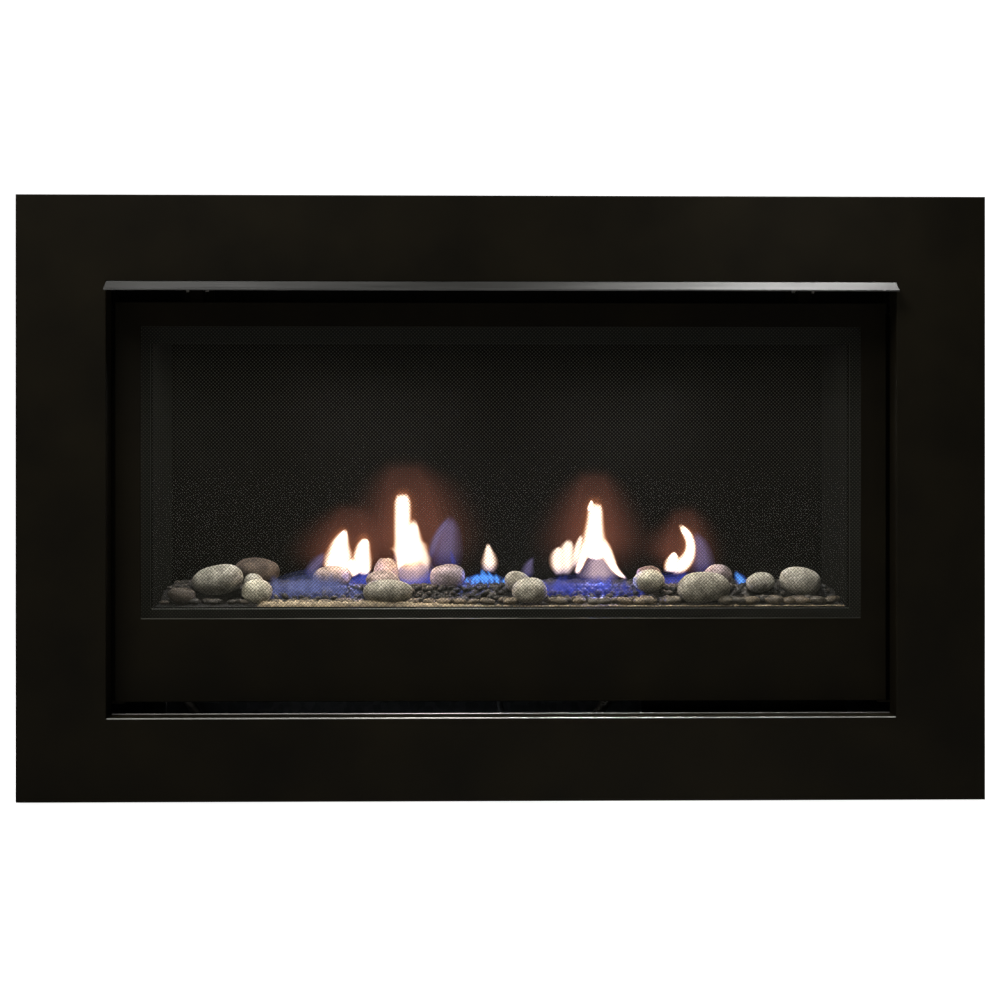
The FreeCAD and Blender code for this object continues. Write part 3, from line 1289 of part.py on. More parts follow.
def spark_electrode():
    top = PILOT_PLATE_TOP + ELECTRODE_RISE
    ceramic = rod_z(ELECTRODE_RADIUS, ELECTRODE_X, PILOT_Y, PILOT_LOW, top)
    wire = rod_z(ELECTRODE_WIRE_RADIUS, ELECTRODE_X, PILOT_Y, top, top + ELECTRODE_WIRE_LENGTH)
    return join([ceramic, wire])


# Controls
VALVE_RIGHT = VALVE_ACROSS + VALVE_LENGTH * HALF_SHARE
IGNITER_ACROSS = VALVE_RIGHT + IGNITER_GAP + IGNITER_NUT_RADIUS
SWITCH_LEFT = IGNITER_ACROSS + IGNITER_NUT_RADIUS + SWITCH_GAP + SWITCH_RIM
SWITCH_ACROSS = SWITCH_LEFT + SWITCH_WIDTH * HALF_SHARE
PANEL_LEFT = VALVE_ACROSS - VALVE_LENGTH * HALF_SHARE - PANEL_MARGIN
PANEL_RIGHT = SWITCH_LEFT + SWITCH_WIDTH + SWITCH_RIM + PANEL_MARGIN
KNOB_X = VALVE_ACROSS - KNOB_SPREAD * HALF_SHARE
SMALL_KNOB_X = VALVE_ACROSS + KNOB_SPREAD * HALF_SHARE
VALVE_REAR_Y = PANEL_REAR_Y + VALVE_DEPTH
VALVE_BOTTOM = CONTROL_LIFT - VALVE_HEIGHT * HALF_SHARE
VALVE_TOP = CONTROL_LIFT + VALVE_HEIGHT * HALF_SHARE


def control_bracket():
    panel = block(PANEL_LEFT, PANEL_RIGHT, PANEL_Y, PANEL_REAR_Y, PAN_TOP, PAN_TOP + PANEL_HEIGHT)
    foot_rear = PANEL_Y + PANEL_FOOT
    foot = block(PANEL_LEFT, PANEL_RIGHT, PANEL_Y, foot_rear, PAN_TOP, PAN_TOP + PANEL_SHEET)
    bracket = join([panel, foot])
    y0 = PANEL_Y - CUT_OVERRUN
    y1 = PANEL_REAR_Y + CUT_OVERRUN
    for x in (KNOB_X, SMALL_KNOB_X):
        bracket = bracket.cut(rod_y(SPINDLE_RADIUS + HOLE_CLEARANCE, x, y0, y1, CONTROL_LIFT))
    bracket = bracket.cut(rod_y(IGNITER_RADIUS, IGNITER_ACROSS, y0, y1, CONTROL_LIFT))
    half_x = SWITCH_WIDTH * HALF_SHARE
    half_z = SWITCH_HEIGHT * HALF_SHARE
    x0 = SWITCH_ACROSS - half_x
    x1 = SWITCH_ACROSS + half_x
    return bracket.cut(block(x0, x1, y0, y1, CONTROL_LIFT - half_z, CONTROL_LIFT + half_z))


def gas_valve_body():
    half = VALVE_LENGTH * HALF_SHARE
    x0 = VALVE_ACROSS - half
    x1 = VALVE_ACROSS + half
    body = block(x0, x1, PANEL_REAR_Y, VALVE_REAR_Y, VALVE_BOTTOM, VALVE_TOP)
    rims = [edge for edge in body.Edges if edge.BoundBox.YLength > VALVE_CHAMFER]
    body = body.makeChamfer(VALVE_CHAMFER, rims)
    bosses = [
        rod_x(VALVE_BOSS_RADIUS, x0 - VALVE_BOSS_LENGTH, x0, INLET_Y, VALVE_PORT_LIFT),
        rod_x(VALVE_BOSS_RADIUS, x1, x1 + VALVE_BOSS_LENGTH, INLET_Y, VALVE_PORT_LIFT),
    ]
    body = join([body] + bosses)
    y0 = PANEL_REAR_Y - CUT_OVERRUN
    for x in (KNOB_X, SMALL_KNOB_X):
        y1 = PANEL_REAR_Y + SPINDLE_WELL
        body = body.cut(rod_y(SPINDLE_RADIUS + HOLE_CLEARANCE, x, y0, y1, CONTROL_LIFT))
    return body


KNOB_REAR_Y = PANEL_Y - KNOB_PANEL_GAP
KNOB_FRONT_Y = KNOB_REAR_Y - KNOB_HEIGHT


def knob_head(x, radius):
    body = rod_y(radius, x, KNOB_FRONT_Y, KNOB_REAR_Y, CONTROL_LIFT)
    pointer_half = KNOB_POINTER_WIDTH * HALF_SHARE
    tip = CONTROL_LIFT + radius - KNOB_FLUTE_RADIUS
    pointer_front = KNOB_FRONT_Y - KNOB_POINTER_HEIGHT
    pointer = block(x - pointer_half, x + pointer_half, pointer_front, KNOB_FRONT_Y, CONTROL_LIFT, tip)
    body = join([body, pointer])
    for flute in range(KNOB_FLUTES):
        angle = math.radians((flute + HALF_SHARE) * FULL_TURN / KNOB_FLUTES)
        flute_x = x + radius * math.cos(angle)
        flute_z = CONTROL_LIFT + radius * math.sin(angle)
        y0 = KNOB_FRONT_Y - CUT_OVERRUN
        body = body.cut(rod_y(KNOB_FLUTE_RADIUS, flute_x, y0, KNOB_REAR_Y + CUT_OVERRUN, flute_z))
    return body


def valve_spindle():
    y0 = KNOB_REAR_Y - KNOB_SOCKET_DEPTH
    return rod_y(SPINDLE_RADIUS, KNOB_X, y0, y0 + SPINDLE_LENGTH, CONTROL_LIFT)


def control_knob():
    head = knob_head(KNOB_X, KNOB_RADIUS)
    y0 = KNOB_REAR_Y - KNOB_SOCKET_DEPTH - BODY_GAP
    y1 = KNOB_REAR_Y + CUT_OVERRUN
    return head.cut(rod_y(SPINDLE_RADIUS + HOLE_CLEARANCE, KNOB_X, y0, y1, CONTROL_LIFT))


def flame_height_knob():
    head = knob_head(SMALL_KNOB_X, SMALL_KNOB_RADIUS)
    end = PANEL_REAR_Y + SPINDLE_WELL - BODY_GAP
    return join([head, rod_y(SPINDLE_RADIUS, SMALL_KNOB_X, KNOB_REAR_Y, end, CONTROL_LIFT)])


def igniter_body():
    nut_front = PANEL_Y - IGNITER_NUT_HEIGHT
    barrel_end = PANEL_REAR_Y + IGNITER_LENGTH
    barrel = rod_y(IGNITER_RADIUS, IGNITER_ACROSS, nut_front, barrel_end, CONTROL_LIFT)
    nut = rod_y(IGNITER_NUT_RADIUS, IGNITER_ACROSS, nut_front, PANEL_Y, CONTROL_LIFT)
    well_radius = BUTTON_STEM_RADIUS + HOLE_CLEARANCE
    well_end = nut_front + BUTTON_WELL
    well = rod_y(well_radius, IGNITER_ACROSS, nut_front - CUT_OVERRUN, well_end, CONTROL_LIFT)
    return join([barrel, nut]).cut(well)


def igniter_button():
    cap_rear = PANEL_Y - IGNITER_NUT_HEIGHT - BUTTON_REACH
    cap = rod_y(BUTTON_RADIUS, IGNITER_ACROSS, cap_rear - BUTTON_STEM_RADIUS, cap_rear, CONTROL_LIFT)
    stem = rod_y(BUTTON_STEM_RADIUS, IGNITER_ACROSS, cap_rear, cap_rear + BUTTON_STEM_LENGTH, CONTROL_LIFT)
    return join([cap, stem])


ROCKER_AXIS_Y = PANEL_Y - SWITCH_RIM_HEIGHT + ROCKER_PIVOT_DEPTH


def switch_housing():
    half_x = SWITCH_WIDTH * HALF_SHARE
    half_z = SWITCH_HEIGHT * HALF_SHARE
    x0 = SWITCH_ACROSS - half_x
    x1 = SWITCH_ACROSS + half_x
    z0 = CONTROL_LIFT - half_z
    z1 = CONTROL_LIFT + half_z
    front = PANEL_Y - SWITCH_RIM_HEIGHT
    body = block(x0, x1, front, PANEL_REAR_Y + SWITCH_DEPTH, z0, z1)
    rim = block(x0 - SWITCH_RIM, x1 + SWITCH_RIM, front, PANEL_Y, z0 - SWITCH_RIM, z1 + SWITCH_RIM)
    pocket = block(
        x0 + SWITCH_RIM,
        x1 - SWITCH_RIM,
        front - CUT_OVERRUN,
        front + SWITCH_POCKET,
        z0 + SWITCH_RIM,
        z1 - SWITCH_RIM,
    )
    pivot_radius = ROCKER_PIVOT_RADIUS + HOLE_CLEARANCE
    reach = half_x - SWITCH_RIM + ROCKER_PIVOT_REACH
    pivot = rod_x(pivot_radius, SWITCH_ACROSS - reach, SWITCH_ACROSS + reach, ROCKER_AXIS_Y, CONTROL_LIFT)
    return join([body, rim]).cut(pocket).cut(pivot)


def switch_rocker():
    half_x = SWITCH_WIDTH * HALF_SHARE - SWITCH_RIM - ROCKER_GAP
    half_z = SWITCH_HEIGHT * HALF_SHARE - SWITCH_RIM - ROCKER_GAP - ROCKER_GAP
    lean = half_z * math.tan(math.radians(ROCKER_TILT))
    front = ROCKER_AXIS_Y - ROCKER_THICKNESS
    points = [
        (front, CONTROL_LIFT),
        (front - lean, CONTROL_LIFT + half_z),
        (ROCKER_AXIS_Y, CONTROL_LIFT + half_z),
        (ROCKER_AXIS_Y + ROCKER_PIVOT_RADIUS, CONTROL_LIFT),
        (ROCKER_AXIS_Y, CONTROL_LIFT - half_z),
        (front - lean, CONTROL_LIFT - half_z),
    ]
    paddle = sheet_x(points, SWITCH_ACROSS - half_x, SWITCH_ACROSS + half_x)
    reach = SWITCH_WIDTH * HALF_SHARE - SWITCH_RIM + ROCKER_PIVOT_REACH - ROCKER_GAP
    x0 = SWITCH_ACROSS - reach
    pivot = rod_x(ROCKER_PIVOT_RADIUS, x0, SWITCH_ACROSS + reach, ROCKER_AXIS_Y, CONTROL_LIFT)
    return join([paddle, pivot])


# Gas line and leads
SHUTOFF_X0 = -HALF_CASING + SHUTOFF_INSET
SHUTOFF_X1 = SHUTOFF_X0 + SHUTOFF_LENGTH
LEVER_X = SHUTOFF_X0 + SHUTOFF_LENGTH * HALF_SHARE
SHUTOFF_FRONT_Y = INLET_Y - SHUTOFF_HALF


def shutoff_valve_body():
    low = INLET_LIFT - SHUTOFF_HALF
    high = INLET_LIFT + SHUTOFF_HALF
    body = block(SHUTOFF_X0, SHUTOFF_X1, SHUTOFF_FRONT_Y, INLET_Y + SHUTOFF_HALF, low, high)
    rims = [edge for edge in body.Edges if edge.BoundBox.XLength > VALVE_CHAMFER]
    body = body.makeChamfer(VALVE_CHAMFER, rims)
    mouth = -HALF_CASING - INLET_REACH
    nipple = rod_x(INLET_RADIUS, mouth, SHUTOFF_X0, INLET_Y, INLET_LIFT)
    whole = join([body, nipple])
    bore_end = mouth + INLET_BORE_LENGTH
    whole = whole.cut(rod_x(INLET_BORE_RADIUS, mouth - CUT_OVERRUN, bore_end, INLET_Y, INLET_LIFT))
    socket_radius = LEVER_STEM_RADIUS + HOLE_CLEARANCE
    socket_end = SHUTOFF_FRONT_Y + LEVER_STEM_SINK + BODY_GAP
    return whole.cut(rod_y(socket_radius, LEVER_X, SHUTOFF_FRONT_Y - CUT_OVERRUN, socket_end, INLET_LIFT))


def shutoff_lever():
    tip = SHUTOFF_FRONT_Y - LEVER_STEM_LENGTH
    stem = rod_y(LEVER_STEM_RADIUS, LEVER_X, tip, SHUTOFF_FRONT_Y + LEVER_STEM_SINK, INLET_LIFT)
    half = LEVER_WIDTH * HALF_SHARE
    arm_end = LEVER_X + LEVER_LENGTH
    arm = block(LEVER_X, arm_end, tip - LEVER_SHEET, tip, INLET_LIFT - half, INLET_LIFT + half)
    hub = rod_y(half, LEVER_X, tip - LEVER_SHEET, tip, INLET_LIFT)
    end = rod_y(half, LEVER_X + LEVER_LENGTH, tip - LEVER_SHEET, tip, INLET_LIFT)
    return join([stem, arm, hub, end])


def gas_inlet_tube():
    valve_x = VALVE_ACROSS - VALVE_LENGTH * HALF_SHARE - VALVE_BOSS_LENGTH
    run = INLET_TUBE_DROP_RUN
    points = [
        (SHUTOFF_X1, INLET_Y, INLET_LIFT),
        (SHUTOFF_X1 + run, INLET_Y, INLET_LIFT),
        (SHUTOFF_X1 + run + run, INLET_Y, INLET_TUBE_LIFT),
        (valve_x - run - run, INLET_Y, INLET_TUBE_LIFT),
        (valve_x - run, INLET_Y, VALVE_PORT_LIFT),
        (valve_x, INLET_Y, VALVE_PORT_LIFT),
    ]
    return routed_tube(points, INLET_TUBE_RADIUS, INLET_TUBE_BEND)


def gas_tubes():
    orifice_low = ORIFICE_SEAT - ORIFICE_LENGTH
    burner_points = [
        (VALVE_ACROSS, VALVE_REAR_Y, BURNER_PORT_LIFT + VALVE_BOSS_LENGTH),
        (VALVE_ACROSS, BURNER_MID_Y, BURNER_PORT_LIFT + VALVE_BOSS_LENGTH),
        (VALVE_ACROSS, BURNER_MID_Y, BURNER_TUBE_LIFT),
        (0, BURNER_MID_Y, BURNER_TUBE_LIFT),
        (0, BURNER_MID_Y, orifice_low),
    ]
    pilot_x = VALVE_ACROSS + PILOT_PORT_OFFSET
    pilot_points = [
        (pilot_x, VALVE_REAR_Y, PILOT_PORT_LIFT),
        (pilot_x, PILOT_Y, PILOT_PORT_LIFT),
        (PILOT_ACROSS, PILOT_Y, PILOT_PORT_LIFT),
        (PILOT_ACROSS, PILOT_Y, PILOT_LOW),
    ]
    burner = routed_tube(burner_points, BURNER_TUBE_RADIUS, BURNER_TUBE_BEND)
    return Part.makeCompound([burner, routed_tube(pilot_points, PILOT_TUBE_RADIUS, PILOT_TUBE_BEND)])


def control_leads():
    spark_points = [
        (IGNITER_ACROSS, PANEL_REAR_Y + IGNITER_LENGTH, CONTROL_LIFT),
        (IGNITER_ACROSS, PILOT_Y, CONTROL_LIFT),
        (ELECTRODE_X, PILOT_Y, CONTROL_LIFT),
        (ELECTRODE_X, PILOT_Y, PILOT_LOW),
    ]
    sensor_x = VALVE_ACROSS - SENSOR_LEAD_OFFSET
    sensor_points = [
        (sensor_x, VALVE_REAR_Y, SENSOR_LEAD_LIFT),
        (sensor_x, PILOT_Y, SENSOR_LEAD_LIFT),
        (THERMOPILE_X, PILOT_Y, SENSOR_LEAD_LIFT),
        (THERMOPILE_X, PILOT_Y, PILOT_LOW),
    ]
    return Part.makeCompound(
        [routed_tube(points, LEAD_RADIUS, LEAD_BEND) for points in (spark_points, sensor_points)]
    )


# Front brackets and magnets
SURROUND_FLANGE_Y = FACE_Y + SURROUND_SHEET + MAGNET_THICKNESS + MAGNET_GAP
SCREEN_STOP_Y = SCREEN_REAR_Y + MAGNET_THICKNESS + MAGNET_GAP
SURROUND_BRACKET_X = HALF_OPENING + SURROUND_SHEET + SURROUND_BRACKET_CLEARANCE
SURROUND_MAGNET_X = SURROUND_BRACKET_X + SURROUND_BRACKET_LAND * HALF_SHARE
SCREEN_MAGNET_X = HALF_SCREEN - SCREEN_LIP * HALF_SHARE


def surround_bracket():
    sheet = FRONT_BRACKET_SHEET
    x0 = SURROUND_BRACKET_X
    x1 = x0 + SURROUND_BRACKET_LAND
    x2 = x1 + SURROUND_BRACKET_LAND - sheet
    front = SURROUND_FLANGE_Y
    points = [
        (x0, front),
        (x1, front),
        (x1, CASING_FRONT_Y - sheet),
        (x2, CASING_FRONT_Y - sheet),
        (x2, CASING_FRONT_Y),
        (x1 - sheet, CASING_FRONT_Y),
        (x1 - sheet, front + sheet),
        (x0, front + sheet),
    ]
    inset = SURROUND_BRACKET_END_INSET
    return sheet_z(points, OPENING_BOTTOM + inset, OPENING_TOP - inset)


def screen_bracket():
    sheet = FRONT_BRACKET_SHEET
    web = HALF_OPENING + SURROUND_SHEET + CASING_RETURN_GAP
    inner = web - SCREEN_STOP_REACH + sheet
    rear = SCREEN_STOP_Y + sheet
    points = [
        (web, CASING_INNER_FRONT_Y),
        (web + SCREEN_BRACKET_LAND, CASING_INNER_FRONT_Y),
        (web + SCREEN_BRACKET_LAND, CASING_INNER_FRONT_Y + sheet),
        (web + sheet, CASING_INNER_FRONT_Y + sheet),
        (web + sheet, rear),
        (inner, rear),
        (inner, SCREEN_STOP_Y),
        (web, SCREEN_STOP_Y),
    ]
    shelf_top = SCREEN_BOTTOM - BODY_GAP
    shelf_bottom = shelf_top - sheet
    post = sheet_z(points, shelf_bottom, SCREEN_TOP - SCREEN_BRACKET_END_INSET)
    shelf = block(inner, web + sheet, SCREEN_Y, rear, shelf_bottom, shelf_top)
    return join([post, shelf])


def front_brackets():
    return Part.makeCompound(
        [surround_bracket(), mirrored(surround_bracket()), screen_bracket(), mirrored(screen_bracket())]
    )


def holding_magnets():
    solids = []
    for side in (-1, 1):
        inset = SURROUND_BRACKET_END_INSET + MAGNET_END_INSET
        for z in (OPENING_BOTTOM + inset, OPENING_TOP - inset):
            y0 = SURROUND_FLANGE_Y - MAGNET_THICKNESS
            solids.append(rod_y(SURROUND_MAGNET_RADIUS, side * SURROUND_MAGNET_X, y0, SURROUND_FLANGE_Y, z))
        for z in (SCREEN_BOTTOM + MAGNET_END_INSET, SCREEN_TOP - MAGNET_END_INSET):
            y0 = SCREEN_STOP_Y - MAGNET_THICKNESS
            solids.append(rod_y(SCREEN_MAGNET_RADIUS, side * SCREEN_MAGNET_X, y0, SCREEN_STOP_Y, z))
    return Part.makeCompound(solids)


# Every piece and the function that makes it
PIECES = {
    "surround_face": surround_face,
    "heat_deflector_hood": heat_deflector_hood,
    "screen_frame": screen_frame,
    "screen_mesh": screen_mesh,
    "mesh_retainer": mesh_retainer,
    "glass_frame": glass_frame,
    "glass_pane": glass_pane,
    "glass_gasket": glass_gasket,
    "latch_right": latch,
    "latch_left": lambda: mirrored(latch()),
    "latch_brackets": lambda: mirror_pair(latch_bracket()),
    "relief_flap_right": relief_flap,
    "relief_flap_left": lambda: mirrored(relief_flap()),
    "hinge_pins": hinge_pins,
    "firebox_gaskets": firebox_gaskets,
    "firebox_floor": firebox_floor,
    "firebox_wrap": firebox_wrap,
    "firebox_top": firebox_top,
    "firebox_front_plate": firebox_front_plate,
    "firebox_stands": firebox_stands,
    "flue_baffle": flue_baffle,
    "exhaust_collar": exhaust_collar,
    "intake_collar": intake_collar,
    "intake_air_duct": intake_air_duct,
    "casing_base_pan": casing_base_pan,
    "casing_left_side": casing_left_side,
    "casing_right_side": casing_right_side,
    "casing_back_panel": casing_back_panel,
    "casing_top_panel": casing_top_panel,
    "casing_front_frame": casing_front_frame,
    "casing_screws": casing_screws,
    "base_rails": base_rails,
    "top_standoffs": top_standoffs,
    "nailing_flanges": nailing_flanges,
    "media_tray": media_tray,
    "burner_pan": burner_pan,
    "pebble_bed": pebble_bed,
    "river_stones": river_stones,
    "venturi_tube": venturi_tube,
    "air_shutter": air_shutter,
    "burner_orifice": burner_orifice,
    "pilot_burner": pilot_burner,
    "flame_sensor": flame_sensor,
    "spark_electrode": spark_electrode,
    "control_bracket": control_bracket,
    "gas_valve_body": gas_valve_body,
    "valve_spindle": valve_spindle,
    "control_knob": control_knob,
    "flame_height_knob": flame_height_knob,
    "igniter_body": igniter_body,
    "igniter_button": igniter_button,
    "switch_housing": switch_housing,
    "switch_rocker": switch_rocker,
    "shutoff_valve_body": shutoff_valve_body,
    "shutoff_lever": shutoff_lever,
    "gas_inlet_tube": gas_inlet_tube,
    "gas_tubes": gas_tubes,
    "control_leads": control_leads,
    "front_brackets": front_brackets,
    "holding_magnets": holding_magnets,
}

os.makedirs("parts", exist_ok=True)
for name, make in PIECES.items():
    make().exportStep(os.path.join("parts", name + ".step"))
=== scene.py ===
"""Dresses the direct vent fireplace: finishes, wire cloth, fire bed, flames, light and camera."""
import json
import logging
import math
from dataclasses import dataclass
from enum import Enum

import bpy
import numpy as np
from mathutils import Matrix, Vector

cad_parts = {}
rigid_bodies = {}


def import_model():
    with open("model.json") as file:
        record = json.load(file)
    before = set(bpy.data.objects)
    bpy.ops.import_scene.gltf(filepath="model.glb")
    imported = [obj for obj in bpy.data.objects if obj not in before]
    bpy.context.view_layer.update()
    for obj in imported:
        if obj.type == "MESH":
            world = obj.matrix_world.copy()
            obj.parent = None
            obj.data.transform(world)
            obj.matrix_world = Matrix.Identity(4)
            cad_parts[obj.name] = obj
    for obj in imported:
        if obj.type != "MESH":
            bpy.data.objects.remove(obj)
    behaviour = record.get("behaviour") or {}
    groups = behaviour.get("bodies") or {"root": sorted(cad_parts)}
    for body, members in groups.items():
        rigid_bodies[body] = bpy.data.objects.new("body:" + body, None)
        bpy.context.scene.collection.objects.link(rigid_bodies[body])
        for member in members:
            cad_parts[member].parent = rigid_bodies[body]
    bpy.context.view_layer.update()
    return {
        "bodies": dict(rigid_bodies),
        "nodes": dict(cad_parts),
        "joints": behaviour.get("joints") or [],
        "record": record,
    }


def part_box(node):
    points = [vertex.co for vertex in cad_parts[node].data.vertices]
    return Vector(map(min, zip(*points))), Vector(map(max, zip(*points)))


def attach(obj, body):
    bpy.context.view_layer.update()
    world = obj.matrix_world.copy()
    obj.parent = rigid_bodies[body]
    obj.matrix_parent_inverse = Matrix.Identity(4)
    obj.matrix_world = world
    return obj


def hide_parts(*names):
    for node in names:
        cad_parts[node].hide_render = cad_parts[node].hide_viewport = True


log = logging.getLogger("fireplace")

FIXED_BODY = "fireplace"
SCREEN_BODY = "screen"
SURROUND_BODY = "surround"
GLASS_BODY = "glass"
MM = 0.001
WIRE_PITCH = 4.4 * MM
PATTERN_LOW, PATTERN_HIGH = 0.3, 0.7
FULL_TURN = 2 * math.pi
WAVE_RADIANS = 20.0
MIX_SHARE, MIX_FIRST, MIX_SECOND, MIX_COLOUR = 0, 6, 7, 2
WIRE_POINTS = 8

Tone = Place = Knot = tuple[float, float, float]
Span = tuple[float, float]
Piece = bpy.types.Object
Paint = bpy.types.Material
Socket = bpy.types.NodeSocket
Dice = np.random.Generator
Spots = tuple[np.ndarray, np.ndarray]
Entry = Socket | float | tuple[float, ...]

PLAIN: Place = (1.0, 1.0, 1.0)
BRUSHED: Place = (0.03, 1.0, 1.0)


def linear(tone: Tone) -> tuple[float, float, float, float]:
    """Gives the linear colour of a paint chip.

    Each channel, out of 255, goes through the display curve backwards.

    Args:
        tone: red, green and blue as a display shows them, out of 255.

    Returns:
        Linear red, green and blue, and a full alpha.
    """
    knee, slope, lift, power = 0.04045, 12.92, 0.055, 2.4
    chip = np.asarray(tone, dtype=float) / 255.0
    flat = np.where(chip <= knee, chip / slope, ((chip + lift) / (1.0 + lift)) ** power)
    return (float(flat[0]), float(flat[1]), float(flat[2]), 1.0)


def skin_faces(rings: int, around: int, copies: int) -> list[list[int]]:
    """Faces of closed skins, each a stack of rings with a pole below and a pole above.

    Point j of ring i has the number i * around + j, and the two poles follow the rings. Quads
    join each ring to the next, and fans of triangles close the ends.

    Args:
        rings: rings in one skin, from the bottom up.
        around: points in one ring, turning to the left seen from above.
        copies: skins that follow each other in the point array.

    Returns:
        Point numbers of every face.
    """
    ring = np.arange(around)
    turn = (ring + 1) % around
    level = np.arange(rings - 1)[:, None] * around
    quads = np.stack([level + ring, level + turn, level + around + turn, level + around + ring], axis=-1)
    foot = rings * around
    top = (rings - 1) * around
    low_fan = np.stack([np.full(around, foot), turn, ring], axis=-1)
    high_fan = np.stack([np.full(around, foot + 1), top + ring, top + turn], axis=-1)
    step = np.arange(copies)[:, None, None] * (foot + 2)
    all_quads = (quads.reshape(-1, 4) + step).reshape(-1, 4)
    all_fans = (np.concatenate([low_fan, high_fan]) + step).reshape(-1, 3)
    return [*all_quads.tolist(), *all_fans.tolist()]


def ball_points(rings: int, around: int) -> np.ndarray:
    """Points of a unit ball in the order of skin_faces.

    Latitude runs in even steps between the poles, and longitude in even steps round.

    Args:
        rings: rings between the poles.
        around: points in one ring.

    Returns:
        Array of points by three.
    """
    latitude = -math.pi / 2 + math.pi * np.arange(1, rings + 1)[:, None] / (rings + 1)
    longitude = FULL_TURN * np.arange(around)[None, :] / around
    x = np.cos(latitude) * np.cos(longitude)
    y = np.cos(latitude) * np.sin(longitude)
    z = np.sin(latitude) * np.ones_like(longitude)
    body = np.stack([x, y, z], axis=-1).reshape(-1, 3)
    return np.concatenate([body, [[0.0, 0.0, -1.0], [0.0, 0.0, 1.0]]])


def smooth_line(knots: np.ndarray, places: np.ndarray) -> np.ndarray:
    """Reads a smooth curve through knots.

    Between two knots the curve is a cubic whose slope at a knot is half the step from the knot
    before it to the knot after it.

    Args:
        knots: array of knots by values.
        places: places along the curve, 0 at the first knot and 1 at the last.

    Returns:
        Array of places by values.
    """
    padded = np.concatenate([2 * knots[:1] - knots[1:2], knots, 2 * knots[-1:] - knots[-2:-1]])
    spot = np.clip(places, 0.0, 1.0) * (len(knots) - 1)
    span = np.minimum(spot.astype(int), len(knots) - 2)
    t = (spot - span)[:, None]
    before, start, end, after = (padded[span + shift] for shift in range(4))
    slope_start = (end - before) / 2
    slope_end = (after - start) / 2
    return (
        start * (2 * t**3 - 3 * t**2 + 1)
        + end * (3 * t**2 - 2 * t**3)
        + slope_start * (t**3 - 2 * t**2 + t)
        + slope_end * (t**3 - t**2)
    )


def new_piece(name: str, points: np.ndarray, faces: list[list[int]], body: str, smooth: bool) -> Piece:
    """Makes a mesh object at the origin that rides on a body.

    Args:
        name: name of the piece.
        points: array of points by three, in metres.
        faces: point numbers of each face.
        body: the body that it moves with.
        smooth: whether its faces are shaded smooth.

    Returns:
        The object.
    """
    mesh = bpy.data.meshes.new(name)
    mesh.from_pydata(points.tolist(), [], faces)
    mesh.polygons.foreach_set("use_smooth", np.full(len(mesh.polygons), smooth))
    mesh.update()
    piece = bpy.data.objects.new(name, mesh)
    bpy.context.scene.collection.objects.link(piece)
    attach(piece, body)
    log.info("%s: %d faces on %s", name, len(faces), body)
    return piece


def store(piece: Piece, name: str, values: np.ndarray) -> None:
    """Keeps one value, or one colour, for each point of a piece.

    Args:
        piece: the piece.
        name: name of the attribute.
        values: a value or a colour for each point.
    """
    kind, slot = ("FLOAT", "value") if values.ndim == 1 else ("FLOAT_COLOR", "color")
    layer = piece.data.attributes.new(name, kind, "POINT")
    layer.data.foreach_set(slot, np.ascontiguousarray(values, dtype=np.float32).ravel())


